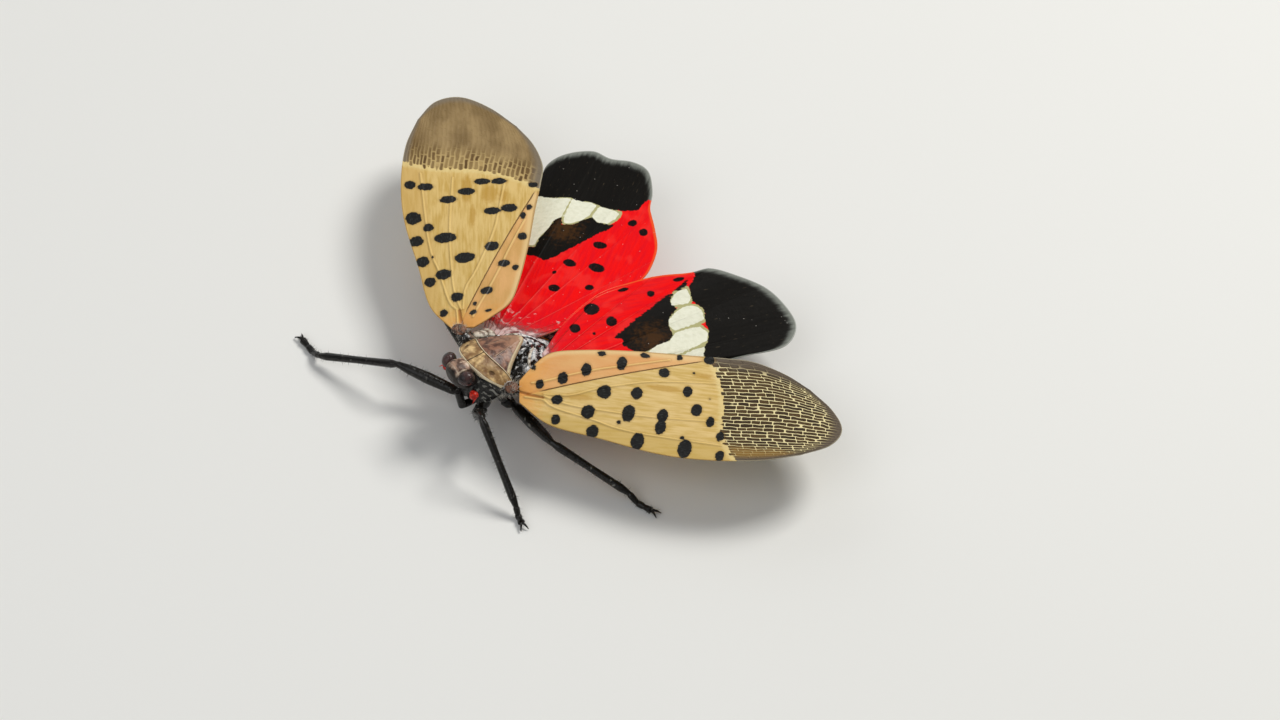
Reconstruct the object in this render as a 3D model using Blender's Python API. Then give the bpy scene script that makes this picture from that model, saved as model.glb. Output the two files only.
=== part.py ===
"""A spotted lanternfly at life size, standing with its four wings spread.

Sizes below are in millimetres, and solid() turns them into metres. The insect looks along -Y,
its left side is +X, and the floor is z = 0. The origin is on the floor, below the point midway
between the roots of the forewings.
"""

import math

import bmesh
import bpy
import numpy as np

MM = 0.001
GAP = 0.3
MERGE = 0.002

# Wings: sizes along the wing (u), across it towards the hind edge (v), and up
WING_THICKNESS = 0.5
RIDGE_HEIGHT = 0.12
FOREWING_LENGTH = 21.0
FOREWING_HALF_WIDTH = 4.5
FOREWING_DROOP = 0.27
FOREWING_ARCH = 0.033
FOREWING_FRONT_EDGE = [(-0.1, -0.5), (2.1, -1.95), (5.5, -2.7), (9.5, -3.6), (12.7, -3.8), (15.9, -3.5), (18.4, -2.7)]
FOREWING_TIP_EDGE = [(18.4, -2.7), (20.15, -1.55), (20.75, 0.1), (19.9, 1.95), (18.25, 3.65)]
FOREWING_HIND_EDGE = [
    (-0.35, 1.1), (0.25, 2.15), (1.3, 3.45), (3.2, 4.05), (6.4, 4.6), (9.6, 4.95), (12.5, 5.3), (14.4, 5.4),
    (16.5, 4.75), (18.25, 3.65),
]
FOREWING_POSES = {
    "left": {"root": (3.57, -0.05, 4.5), "sweep": 46.9, "rise": -0.3, "twist": 11.7, "warp": -2.17},
    "right": {"root": (3.70, -0.15, 4.77), "sweep": 33.6, "rise": -1.9, "twist": 13.9, "warp": -1.82},
}
FOREWING_SUTURE = [(0.0, 0.4), (0.06, 0.43), (0.33, 0.73), (0.5, 0.87), (0.62, 0.93), (1.0, 0.9)]
FOREWING_SUTURE_COLUMN = 0.75
FOREWING_ROWS = (0, 0.05, 0.12, 0.22, 0.33, 0.44, 0.55, 0.63)
FOREWING_OUTER_ROWS = (0.76, 0.83, 0.89, 0.95, 1.0)
FOREWING_NODE = 0.69
FOREWING_NODE_WIDTH = 0.013
FOREWING_NODE_FRONT = 0.735
FOREWING_NODE_HIND = 0.645
FOREWING_MAIN_VEINS = (0.15, 0.32, 0.52, 0.75, 0.88)
FOREWING_OUTER_VEINS = (0.07, 0.23, 0.42, 0.6, 0.68, 0.82, 0.94)
FOREWING_VEIN_WIDTH = 0.018
HINDWING_ROOT = (2.0, 1.6)
HINDWING_ROOT_EDGE = [(0.15, -1.25), (0.2, 0.5)]
HINDWING_ROWS = (0, 0.1, 0.24, 0.4, 0.56, 0.72, 0.87, 1.0)
HINDWING_VEINS = (0.05, 0.15, 0.25, 0.35, 0.45, 0.55, 0.65, 0.75, 0.85, 0.95)
HINDWING_VEIN_WIDTH = 0.012
HINDWING_EDGES = {
    "left": [
        (1.6, -0.8), (5.0, -1.7), (9.0, -2.0), (13.1, -1.75), (15.9, -1.75), (17.3, -1.4), (18.1, -0.4), (18.0, 1.0),
        (17.25, 2.6), (15.65, 4.15), (14.0, 5.1), (12.6, 5.15), (10.5, 5.35), (7.0, 5.15), (4.0, 3.85), (1.5, 1.65),
    ],
    "right": [
        (1.6, -0.9), (5.0, -2.0), (9.0, -2.5), (14.2, -2.4), (16.2, -2.45), (17.6, -1.6), (18.3, 0.0), (18.05, 1.4),
        (18.25, 2.9), (17.7, 4.25), (16.1, 5.15), (14.5, 5.55), (12.9, 6.45), (11.3, 7.2), (9.5, 7.4), (8.1, 7.1),
        (5.0, 6.0), (1.4, 2.4),
    ],
}
HINDWING_POSES = {
    "left": {"sweep": 72.0, "height": 3.95, "rise": -0.03, "tilt": 0.2},
    "right": {"sweep": 54.8, "height": 3.44, "rise": 0.025, "tilt": 0.03},
}

# Body: every station is (y, half width, top, bottom, height of the widest line)
HEAD_STATIONS = [
    (-2.3, 1.0, 5.97, 3.9, 4.7), (-2.55, 1.02, 6.04, 3.85, 4.9), (-2.85, 0.95, 6.05, 4.1, 5.0), (-3.1, 0.75, 5.9, 4.5, 5.15),
    (-3.27, 0.42, 5.6, 4.85, 5.25),
]
THORAX_STATIONS = [
    (-0.02, 1.75, 4.2, 2.5, 3.5), (0.15, 2.0, 4.3, 2.3, 3.5), (0.35, 2.1, 4.35, 2.2, 3.5), (0.85, 1.9, 4.35, 2.2, 3.5),
    (1.5, 1.15, 4.45, 2.2, 3.4), (2.4, 1.05, 4.5, 2.2, 3.3), (3.0, 0.9, 4.25, 2.3, 3.2),
]
ABDOMEN_STATIONS = [
    (3.3, 0.75, 3.6, 2.0, 2.8), (3.75, 1.2, 2.5, 1.5, 2.1), (4.8, 2.1, 2.62, 1.15, 1.9), (7.0, 2.4, 2.62, 0.9, 1.75),
    (9.0, 2.1, 2.62, 0.9, 1.75), (10.6, 1.4, 2.5, 1.05, 1.75), (11.6, 0.6, 2.15, 1.35, 1.7),
]
ABDOMEN_RINGS = 7
ABDOMEN_STEP = 0.05
ABDOMEN_SWELL = [(0.0, 0.0), (0.46, 0.6), (0.92, 1.0)]
COLLAR_BOW = 0.18
COLLAR_FRONT = -2.0
COLLAR_REAR = -0.75
COLLAR_TOP = 5.9
COLLAR_ARCH = 0.235
COLLAR_HALF_WIDTH = 2.35
COLLAR_TAPER = 0.6
COLLAR_BELLY = 2.5
COLLAR_RIM = 0.25
SHIELD_FRONT = -0.3
SHIELD_APEX = 2.4
SHIELD_HALF_WIDTH = 1.72
SHIELD_SLOPE = 0.13
SHIELD_THICKNESS = 0.55
SHIELD_POINT = 0.12
SHIELD_EDGE_DROP = 0.02
EYE_CENTRE = (1.0, -2.64, 5.48)
EYE_SIZE = (0.45, 0.56, 0.5)
EYE_TURN = -24.0
EYE_GAP = 0.33
TEGULA_FROM_ROOT = (-0.66, -0.37, 0.47)
TEGULA_SIZE = (0.5, 0.45, 0.18)
TEGULA_TURN = -30.0
ANTENNA = [(1.28, -2.42, 4.33), (1.8, -2.5, 4.22), (1.98, -2.85, 4.08)]
ROSTRUM = [(0.0, -2.7, 3.4), (0.0, -2.4, 1.84), (0.0, 1.9, 1.5)]
SOCKET_GAP = 0.42
SOCKET_DROP = 0.08
FORE_SOCKET_TOP = 3.6
HIND_SOCKET_TOP = 3.55
FORE_SOCKET = [(-0.2, 0.38), (-0.35, 1.05)]
FORE_SOCKET_INNER = [(1.5, 0.33), (1.3, 0.66)]
HIND_SOCKET_INNER = [(1.5, 0.35), (0.9, 1.1)]

# Legs: the joints of each, from the coxa's root to the claws, and the radius along each length
LEGS = {
    "fore_left": [(0.95, -1.35, 1.94), (1.0, -1.95, 1.85), (3.7, -3.3, 4.65), (8.4, -3.87, 0.75), (9.35, -4.1, 0.22)],
    "fore_right": [(-0.95, -1.35, 1.94), (-1.0, -1.95, 1.85), (-4.6, -4.35, 2.85), (-9.9, -7.2, 0.7), (-12.1, -7.15, 0.22)],
    "mid_left": [(1.0, 0.2, 1.65), (1.7, 0.45, 1.6), (6.9, 0.0, 3.0), (11.6, 2.7, 0.75), (13.3, 3.3, 0.22)],
    "mid_right": [(-1.0, 0.2, 1.65), (-1.7, 0.45, 1.6), (-6.8, 0.5, 3.0), (-11.0, 3.3, 0.7), (-12.6, 4.2, 0.22)],
    "hind_left": [(0.8, 2.2, 1.65), (1.4, 2.7, 1.55), (5.4, 6.3, 2.1), (9.3, 10.6, 0.7), (10.5, 12.3, 0.22)],
    "hind_right": [(-0.8, 2.2, 1.65), (-1.4, 2.7, 1.55), (-4.9, 6.7, 2.1), (-8.0, 11.3, 0.7), (-9.1, 13.1, 0.22)],
}
LEG_LENGTHS = {
    "coxa": [(0.0, 0.42), (0.6, 0.42), (1.0, 0.3)],
    "femur": [(0.0, 0.28), (0.12, 0.38), (0.5, 0.42), (0.85, 0.33), (1.0, 0.26)],
    "tibia": [(0.0, 0.26), (0.08, 0.3), (0.5, 0.26), (0.92, 0.29), (1.0, 0.25)],
    "tarsus": [(0.0, 0.25), (1.0, 0.28)],
}
LEG_SIDES = 8
JOINT_CLEARANCE = 0.17
HEEL_SHARE = 0.4
CLAW_LENGTH = 0.75
CLAW_RADIUS = 0.2
CLAW_SPREAD = 24.0
CLAW_ROOTS_APART = 0.09
CLAW_ROOT_DEPTH = 0.22
CLAW_RISE = 0.06
CLAW_DIP = 0.12
SPINES_PER_TIBIA = 5
SPINE_LENGTH = 0.75
SPINE_RADIUS = 0.2
SPINES_FROM = 0.25
SPINES_TO = 0.87

COLOURS = {
    "forewing": (0.55, 0.40, 0.20), "hindwing": (0.75, 0.01, 0.01), "black": (0.01, 0.01, 0.009),
    "tan": (0.55, 0.42, 0.20), "brown": (0.16, 0.08, 0.05), "eye": (0.09, 0.06, 0.07), "orange": (0.8, 0.05, 0.01),
    "abdomen": (0.65, 0.45, 0.05),
}


def material(name):
    found = bpy.data.materials.get(name)
    if found:
        return found
    made = bpy.data.materials.new(name)
    made.use_nodes = True
    shader = made.node_tree.nodes["Principled BSDF"]
    shader.inputs["Base Color"].default_value = (*COLOURS[name], 1.0)
    shader.inputs["Roughness"].default_value = 0.35
    shader.inputs["Metallic"].default_value = 0.0
    return made


def solid(name, points, faces, colour):
    """An object of this closed mesh, its faces turned to point outwards."""
    points = np.asarray(points, float)
    corners = np.array([face[:3] for face in faces] + [(face[0], *face[2:]) for face in faces if len(face) > 3])
    if np.linalg.det(points[corners]).sum() < 0:
        faces = [tuple(reversed(face)) for face in faces]
    mesh = bpy.data.meshes.new(name)
    mesh.from_pydata((points * MM).tolist(), [], faces)
    mesh.shade_smooth()
    mesh.set_sharp_from_angle(angle=math.radians(40))
    mesh.materials.append(material(colour))
    made = bpy.data.objects.new(name, mesh)
    bpy.context.scene.collection.objects.link(made)
    return made


def remove(objects):
    for obj in objects:
        bpy.data.objects.remove(obj, do_unlink=True)


def keep_largest_surface(obj):
    """Merges points that nearly meet, and drops every closed surface but the one with the most room inside."""
    mesh = obj.data
    joined = bmesh.new()
    joined.from_mesh(mesh)
    bmesh.ops.remove_doubles(joined, verts=joined.verts, dist=MERGE * MM)
    bmesh.ops.triangulate(joined, faces=joined.faces)
    bmesh.ops.dissolve_degenerate(joined, edges=joined.edges, dist=MERGE * MM)
    bmesh.ops.triangulate(joined, faces=joined.faces)
    joined.to_mesh(mesh)
    joined.free()
    label = np.arange(len(mesh.vertices))
    edges = np.array([edge.vertices[:] for edge in mesh.edges])
    while True:
        low = np.minimum(label[edges[:, 0]], label[edges[:, 1]])
        spread = label.copy()
        np.minimum.at(spread, edges[:, 0], low)
        np.minimum.at(spread, edges[:, 1], low)
        if (spread == label).all():
            break
        label = spread
    mesh.calc_loop_triangles()
    corners = np.array([triangle.vertices[:] for triangle in mesh.loop_triangles])
    points = np.array([vertex.co[:] for vertex in mesh.vertices])
    room = np.bincount(label[corners[:, 0]], weights=np.linalg.det(points[corners]))
    largest = int(np.argmax(room))
    kept = [polygon.vertices[:] for polygon in mesh.polygons if label[polygon.vertices[0]] == largest]
    used = sorted({index for face in kept for index in face})
    place = {index: new for new, index in enumerate(used)}
    materials = list(mesh.materials)
    mesh.clear_geometry()
    mesh.from_pydata(points[used].tolist(), [], [tuple(place[index] for index in face) for face in kept])
    for slot in materials:
        if slot.name not in mesh.materials:
            mesh.materials.append(slot)


def fuse(base, pieces):
    """Joins the pieces to the base with one Boolean union, and removes them."""
    group = bpy.data.collections.new(base.name + "_pieces")
    bpy.context.scene.collection.children.link(group)
    for piece in pieces:
        bpy.context.scene.collection.objects.unlink(piece)
        group.objects.link(piece)
    union = base.modifiers.new("union", "BOOLEAN")
    union.operation = "UNION"
    union.operand_type = "COLLECTION"
    union.collection = group
    union.solver = "EXACT"
    bpy.context.view_layer.objects.active = base
    bpy.ops.object.modifier_apply(modifier=union.name)
    remove(list(group.objects))
    bpy.data.collections.remove(group)
    keep_largest_surface(base)


def tube(rings):
    """Points and faces of a closed tube through the rings, each (sides, 3), with a fan over each end."""
    rings = np.asarray(rings, float)
    count, sides = rings.shape[:2]
    points = np.vstack([rings.reshape(-1, 3), rings[0].mean(axis=0), rings[-1].mean(axis=0)])
    faces = []
    for j in range(sides):
        k = (j + 1) % sides
        for i in range(count - 1):
            faces.append((i * sides + j, i * sides + k, (i + 1) * sides + k, (i + 1) * sides + j))
        faces.append((count * sides, k, j))
        faces.append((count * sides + 1, (count - 1) * sides + j, (count - 1) * sides + k))
    return points, faces


def smooth_curve(points, samples):
    """Points along a smooth curve through the given ones, spaced evenly by length."""
    points = np.asarray(points, float)
    padded = np.vstack([2 * points[0] - points[1], points, 2 * points[-1] - points[-2]])
    dense = []
    for i in range(1, len(padded) - 2):
        before, start, end, after = padded[i - 1 : i + 3]
        for t in np.linspace(0, 1, 12, endpoint=False):
            dense.append(
                0.5
                * (
                    2 * start
                    + (end - before) * t
                    + (2 * before - 5 * start + 4 * end - after) * t**2
                    + (3 * start - before - 3 * end + after) * t**3
                )
            )
    dense = np.array(dense + [points[-1]])
    length = np.r_[0, np.cumsum(np.linalg.norm(np.diff(dense, axis=0), axis=1))]
    at = np.linspace(0, length[-1], samples) if np.isscalar(samples) else np.asarray(samples) * length[-1]
    return np.stack([np.interp(at, length, dense[:, i]) for i in range(dense.shape[1])], axis=1)


def limb_rings(start, end, profile, sides):
    """Round rings from start to end, with the radius that the profile gives at each fraction of the way."""
    start, end = np.asarray(start, float), np.asarray(end, float)
    along = (end - start) / np.linalg.norm(end - start)
    side = np.cross(along, (0.0, 0.0, 1.0))
    side = side / np.linalg.norm(side)
    up = np.cross(side, along)
    angles = (np.arange(sides) + 0.5) * 2 * math.pi / sides
    ring = np.cos(angles)[:, None] * side + np.sin(angles)[:, None] * up
    return [start + (end - start) * fraction + ring * radius for fraction, radius in profile]


def limb(name, start, end, profile, colour):
    """A round length that tapers as its profile says."""
    return solid(name, *tube(limb_rings(start, end, profile, LEG_SIDES)), colour)


def body_ring(station, bow, sides=22, fullness=0.85):
    """A ring across the body: rounded above and below the widest line, and bowed backwards at its sides."""
    y, half_width, top, bottom, middle = station
    angles = (np.arange(sides) + 0.5) * 2 * math.pi / sides
    x = half_width * np.sign(np.cos(angles)) * np.abs(np.cos(angles)) ** fullness
    height = np.where(np.sin(angles) > 0, top - middle, middle - bottom)
    z = middle + height * np.sign(np.sin(angles)) * np.abs(np.sin(angles)) ** fullness
    return np.stack([x, y + bow * x**2, z], axis=1)


def ellipsoid(centre, size, degrees, sides=14, bands=7):
    """Points and faces of an ellipsoid turned about the upright line through its centre."""
    rings = []
    for polar in np.linspace(0, math.pi, bands + 2)[1:-1]:
        around = np.linspace(0, 2 * math.pi, sides, endpoint=False)
        ring = np.stack([np.cos(around), np.sin(around), np.full(sides, 1.0)], axis=1)
        rings.append(ring * (math.sin(polar), math.sin(polar), math.cos(polar)) * size)
    points, faces = tube(rings)
    points[-2:] = [(0.0, 0.0, size[2]), (0.0, 0.0, -size[2])]
    return turn(points, 2, degrees) + centre, faces


def cut(base, pieces):
    """Cuts the pieces out of the base, and removes them."""
    for piece in pieces:
        difference = base.modifiers.new("cut", "BOOLEAN")
        difference.operation = "DIFFERENCE"
        difference.object = piece
        difference.solver = "EXACT"
        bpy.context.view_layer.objects.active = base
        bpy.ops.object.modifier_apply(modifier=difference.name)
    remove(pieces)
    keep_largest_surface(base)


def head_and_eyes():
    """The head, with a hollow on each side in which an eye sits."""
    bows = np.linspace(COLLAR_BOW, 0.0, len(HEAD_STATIONS))
    rings = [body_ring(station, bow, fullness=1.05) for station, bow in zip(HEAD_STATIONS, bows)]
    skull = solid("head", *tube(rings), "tan")
    hollows = []
    for side, sign in (("left", 1), ("right", -1)):
        centre = (EYE_CENTRE[0] * sign, *EYE_CENTRE[1:])
        solid(f"eye_{side}", *ellipsoid(centre, EYE_SIZE, EYE_TURN * sign), "eye")
        room = [size + EYE_GAP for size in EYE_SIZE]
        hollows.append(solid("hollow", *ellipsoid(centre, room, EYE_TURN * sign), "eye"))
    cut(skull, hollows)


def antennae():
    base, bulb_end, tip = (np.array(point) for point in ANTENNA)
    for side, sign in (("left", 1), ("right", -1)):
        turned = np.array([sign, 1, 1])
        rings = limb_rings(base * turned, bulb_end * turned, [(0.0, 0.25), (0.3, 0.3), (0.7, 0.31), (1.0, 0.2)], 10)
        rings += limb_rings(bulb_end * turned, tip * turned, [(0.06, 0.1), (0.6, 0.08), (1.0, 0.04)], 10)
        solid(f"antenna_{side}", *tube(rings), "orange")


def collar():
    """The pronotum and the segment under it: an arched top, and a rounded belly that carries the forelegs."""
    across = np.linspace(-COLLAR_HALF_WIDTH, COLLAR_HALF_WIDTH, 13)
    arch = COLLAR_TOP - COLLAR_ARCH * across**2
    under = np.linspace(0, math.pi, 11)[1:-1]
    edge = arch[0] - COLLAR_RIM
    x = np.r_[across, COLLAR_HALF_WIDTH * np.cos(under) * 0.95]
    z = np.r_[arch, edge - (edge - COLLAR_BELLY) * np.sin(under)]
    rings = []
    for share, inset in ((0.0, 0.1), (0.1, 0.0), (0.5, 0.0), (0.9, 0.0), (1.0, 0.08)):
        length = (COLLAR_REAR - COLLAR_FRONT) * (1 - COLLAR_TAPER * (x / COLLAR_HALF_WIDTH) ** 6)
        y = (COLLAR_FRONT + COLLAR_REAR) / 2 + length * (share - 0.5)
        rings.append(np.stack([x * (1 - inset / 3), y + COLLAR_BOW * x**2, z - inset * (z > edge)], axis=1))
    solid("pronotum", *tube(rings), "tan")


def shield():
    """The mesonotum: a domed triangular plate with its point to the rear."""
    rows = 9
    columns = 11
    points = []
    for low in (False, True):
        for along in np.linspace(0, 1, rows):
            half = SHIELD_HALF_WIDTH * (1 - along) ** 0.85 + SHIELD_POINT
            for across in np.linspace(-1, 1, columns):
                x = half * across
                front = SHIELD_FRONT + COLLAR_BOW * x**2
                y = front + (SHIELD_APEX - front) * along
                z = COLLAR_TOP - SHIELD_SLOPE * (y - COLLAR_REAR) - COLLAR_ARCH * x**2 - SHIELD_EDGE_DROP * across**6
                points.append((x, y, z - SHIELD_THICKNESS * low * (1 - 0.5 * across**2)))
    solid("mesonotum", *sheet_faces(points, rows, columns), "brown")


def sheet_faces(points, rows, columns):
    """Faces of a closed sheet: its upper grid of points, its lower one, and the rim between them."""
    size = rows * columns
    faces = []
    for i in range(rows - 1):
        for j in range(columns - 1):
            a, b = i * columns + j, i * columns + j + 1
            c, d = b + columns, a + columns
            faces += [(a, b, c), (a, c, d)]
            faces += [(size + a, size + c, size + b), (size + a, size + d, size + c)]
    rim = [j for j in range(columns)]
    rim += [i * columns + columns - 1 for i in range(1, rows)]
    rim += [(rows - 1) * columns + j for j in range(columns - 2, -1, -1)]
    rim += [i * columns for i in range(rows - 2, 0, -1)]
    for i, here in enumerate(rim):
        after = rim[(i + 1) % len(rim)]
        faces += [(here, size + here, size + after), (here, size + after, after)]
    return points, faces


def turn(points, axis, degrees):
    angle = math.radians(degrees)
    cos, sin = math.cos(angle), math.sin(angle)
    a, b = [i for i in range(3) if i != axis]
    turned = np.array(points, float)
    if axis == 1:
        sin = -sin
    turned[..., a] = cos * points[..., a] - sin * points[..., b]
    turned[..., b] = sin * points[..., a] + cos * points[..., b]
    return turned


def forewing_point(u, v, lift, side):
    """Where a point of the forewing lies: a warped sheet, twisted, lowered and swept back at its root."""
    pose = FOREWING_POSES[side]
    along, across = u / FOREWING_LENGTH, v / FOREWING_HALF_WIDTH
    height = -FOREWING_DROOP * along**2 + pose["warp"] * along * across - FOREWING_ARCH * across**2 + lift
    points = np.stack([u, v, height], axis=-1)
    points = turn(points, 0, pose["twist"])
    points = turn(points, 1, pose["rise"])
    points = turn(points, 2, pose["sweep"]) + pose["root"]
    if side == "right":
        points[..., 0] *= -1
    return points


def hindwing_point(u, v, lift, side):
    """Where a point of the hindwing lies: a flat sheet, tilted a little about its root and swept back."""
    pose = HINDWING_POSES[side]
    height = pose["height"] + pose["rise"] * u + pose["tilt"] * v + lift
    points = np.stack([u, v, height], axis=-1)
    points = turn(points, 2, pose["sweep"]) + (*HINDWING_ROOT, 0.0)
    if side == "right":
        points[..., 0] *= -1
    return points


def vein_columns(veins, spacing):
    """Places across the wing from 0 to 1, with three to a vein and one between veins, and which are ridges."""
    places = [0.0, 1.0]
    for vein in veins:
        places += [vein - spacing, vein, vein + spacing]
    places = np.array(sorted(places))
    wide = np.diff(places) > 3 * spacing
    middles = (places[:-1] + places[1:])[wide] / 2
    places = np.sort(np.r_[places, middles])
    ridges = np.isclose(places[:, None], np.asarray(veins)[None, :]).any(axis=1)
    return places, ridges.astype(float)


def wing(name, upper, side, place, colour):
    """A wing's solid from its grid of (u, v, ridge): the same triangles above and below."""
    rows, columns = upper.shape[:2]
    top = place(upper[..., 0], upper[..., 1], upper[..., 2] * RIDGE_HEIGHT, side)
    bottom = place(upper[..., 0], upper[..., 1], np.full((rows, columns), -WING_THICKNESS), side)
    points = np.vstack([top.reshape(-1, 3), bottom.reshape(-1, 3)])
    solid(name, *sheet_faces(points, rows, columns), colour)


def forewing(side):
    places, ridges = vein_columns(FOREWING_MAIN_VEINS + FOREWING_OUTER_VEINS, FOREWING_VEIN_WIDTH)
    main = np.isclose(places[:, None], np.asarray(FOREWING_MAIN_VEINS)[None, :]).any(axis=1)
    shares = {}
    for edge, node in (("front", FOREWING_NODE_FRONT), ("hind", FOREWING_NODE_HIND)):
        shares[edge] = np.r_[
            np.array(FOREWING_ROWS) * node / FOREWING_NODE,
            node - FOREWING_NODE_WIDTH, node, node + FOREWING_NODE_WIDTH,
            1 - (1 - np.array(FOREWING_OUTER_ROWS)) * (1 - node) / (1 - FOREWING_NODE),
        ]
    middle = (shares["front"] + shares["hind"]) / 2
    front = smooth_curve(FOREWING_FRONT_EDGE, shares["front"])
    hind = smooth_curve(FOREWING_HIND_EDGE, shares["hind"])
    suture = np.interp(middle, *np.transpose(FOREWING_SUTURE))[:, None]
    ahead = places * suture / FOREWING_SUTURE_COLUMN
    behind = 1 - (1 - places) * (1 - suture) / (1 - FOREWING_SUTURE_COLUMN)
    t = np.where(places < FOREWING_SUTURE_COLUMN, ahead, behind)[..., None]
    s = middle[:, None, None]
    root = np.array([FOREWING_FRONT_EDGE[0]]) * (1 - t[0]) + np.array([FOREWING_HIND_EDGE[0]]) * t[0]
    tip = smooth_curve(FOREWING_TIP_EDGE, t[-1, :, 0])
    corners = (1 - s) * (1 - t) * front[0] + (1 - s) * t * hind[0] + s * (1 - t) * front[-1] + s * t * hind[-1]
    flat = (1 - t) * front[:, None] + t * hind[:, None] + (1 - s) * root[None] + s * tip[None] - corners
    node_row = len(FOREWING_ROWS) + 1
    outer = np.arange(len(middle))[:, None] >= node_row
    raised = (outer | main[None, :]) * ridges[None, :]
    raised[node_row] = 1.0
    raised[[0, -1]] = 0.0
    raised[:, [0, -1]] = 0.0
    wing(f"forewing_{side}", np.dstack([flat, raised]), side, forewing_point, "forewing")


def hindwing(side):
    places, ridges = vein_columns(HINDWING_VEINS, HINDWING_VEIN_WIDTH)
    edge = smooth_curve(HINDWING_EDGES[side], places)
    root = smooth_curve(HINDWING_ROOT_EDGE, places)
    flat = root[None] + np.array(HINDWING_ROWS)[:, None, None] * (edge - root)[None]
    raised = np.ones(len(HINDWING_ROWS))[:, None] * ridges[None, :]
    raised[[0, -1]] = 0.0
    wing(f"hindwing_{side}", np.dstack([flat, raised]), side, hindwing_point, "hindwing")


def socket(root, inner, sign, height):
    """A block that fills the room between the body and a wing's root, its outer face along that root."""
    along = root[1, :2] - root[0, :2]
    out = np.array([along[1], -along[0]]) * sign / np.linalg.norm(along)
    if out @ (root[0, :2] - np.mean(inner, axis=0)) < 0:
        out = -out
    tops = np.array([(*(root[i, :2] - out * SOCKET_GAP), root[i, 2] - SOCKET_DROP) for i in (0, 1)])
    inner_tops = np.array([(*inner[i], height) for i in (1, 0)])
    tops = np.vstack([tops, inner_tops])
    points = np.vstack([tops, tops - (0.0, 0.0, WING_THICKNESS)])
    faces = [(0, 1, 2, 3), (7, 6, 5, 4)] + [(i, i + 4, (i + 1) % 4 + 4, (i + 1) % 4) for i in range(4)]
    return solid("socket", points, faces, "black")


def thorax():
    bows = np.linspace(COLLAR_BOW, 0.0, len(THORAX_STATIONS))
    base = solid("thorax", *tube([body_ring(station, bow) for station, bow in zip(THORAX_STATIONS, bows)]), "black")
    pieces = []
    for side, sign in (("left", 1), ("right", -1)):
        for place, edge, inner, height in (
            (forewing_point, FORE_SOCKET, FORE_SOCKET_INNER, FORE_SOCKET_TOP),
            (hindwing_point, HINDWING_ROOT_EDGE, HIND_SOCKET_INNER, HIND_SOCKET_TOP),
        ):
            u, v = np.transpose(edge)
            root = place(u, v, np.zeros(2), side)
            pieces.append(socket(root, np.array(inner) * (sign, 1), sign, height))
    fuse(base, pieces)


def tegulae():
    for side, sign in (("left", 1), ("right", -1)):
        centre = (np.array(FOREWING_POSES[side]["root"]) + TEGULA_FROM_ROOT) * (sign, 1, 1)
        solid(f"tegula_{side}", *ellipsoid(centre, TEGULA_SIZE, TEGULA_TURN * sign), "brown")


def abdomen():
    """Rings along the abdomen: each segment swells a little towards its rear edge, then steps in."""
    stations = np.array(ABDOMEN_STATIONS)
    rings = []
    for segment in range(ABDOMEN_RINGS):
        for share, swell in ABDOMEN_SWELL:
            y = stations[0, 0] + (stations[-1, 0] - stations[0, 0]) * (segment + share) / ABDOMEN_RINGS
            station = [np.interp(y, stations[:, 0], stations[:, column]) for column in range(5)]
            station[1] += swell * ABDOMEN_STEP
            station[2] += swell * ABDOMEN_STEP
            rings.append(body_ring(station, 0.0))
    solid("abdomen", *tube(rings), "abdomen")


def rostrum():
    """The beak, folded back under the head between the legs."""
    rings = limb_rings(ROSTRUM[0], ROSTRUM[1], [(0.0, 0.25), (0.7, 0.28)], LEG_SIDES)
    rings += limb_rings(ROSTRUM[1], ROSTRUM[2], [(0.1, 0.27), (0.8, 0.25), (1.0, 0.1)], LEG_SIDES)
    solid("rostrum", *tube(rings), "black")


def spines(start, end, sign):
    """Spines along a shin, leaning towards its foot and outwards."""
    start, end = np.array(start), np.array(end)
    along = (end - start) / np.linalg.norm(end - start)
    out = np.cross(along, (0, 0, 1)) * sign
    out = out / np.linalg.norm(out)
    made = []
    for i in range(SPINES_PER_TIBIA):
        share = SPINES_FROM + (SPINES_TO - SPINES_FROM) * i / (SPINES_PER_TIBIA - 1)
        root = start + (end - start) * share
        tip = root + (0.8 * out + 0.6 * along) * SPINE_LENGTH
        rings = limb_rings(root, tip, [(0.0, SPINE_RADIUS), (1.0, 0.05)], 5)
        made.append(solid("spine", *tube(rings), "black"))
    return made


def claws(tip, along):
    """Two curved claws at the end of a foot, spread and bent down to the floor."""
    made = []
    for sign in (-1, 1):
        way = turn(np.array([along[0], along[1], 0.0]), 2, sign * CLAW_SPREAD)
        way = way / np.linalg.norm(way)
        aside = np.array([-along[1], along[0], 0.0]) * CLAW_ROOTS_APART * sign
        root = tip + aside - way * (CLAW_ROOT_DEPTH + 0.02 * sign)
        middle = tip + way * CLAW_LENGTH * 0.55 + (0, 0, CLAW_RISE)
        end = tip + way * CLAW_LENGTH - (0, 0, CLAW_DIP)
        rings = limb_rings(root, middle, [(0.0, CLAW_RADIUS), (1.0, 0.14)], 6) + limb_rings(middle, end, [(1.0, 0.05)], 6)
        made.append(solid("claw", *tube(rings), "black"))
    return made


def foot(name, start, end):
    """A foot that comes down from the ankle and lies flat on the floor, with its claws."""
    heel = start + (end - start) * HEEL_SHARE
    heel[2] = end[2]
    rings = limb_rings(start, heel, [(0.0, 0.25), (0.75, 0.22)], LEG_SIDES)
    rings += limb_rings(heel, end, [(0.05, 0.25), (0.45, 0.28), (0.55, 0.25), (1.0, 0.28)], LEG_SIDES)
    points, faces = tube(rings)
    points[:, 2] = np.maximum(points[:, 2], 0.0)
    base = solid(name, points, faces, "black")
    fuse(base, claws(end, (end - start) / np.linalg.norm(end - start)))


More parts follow.
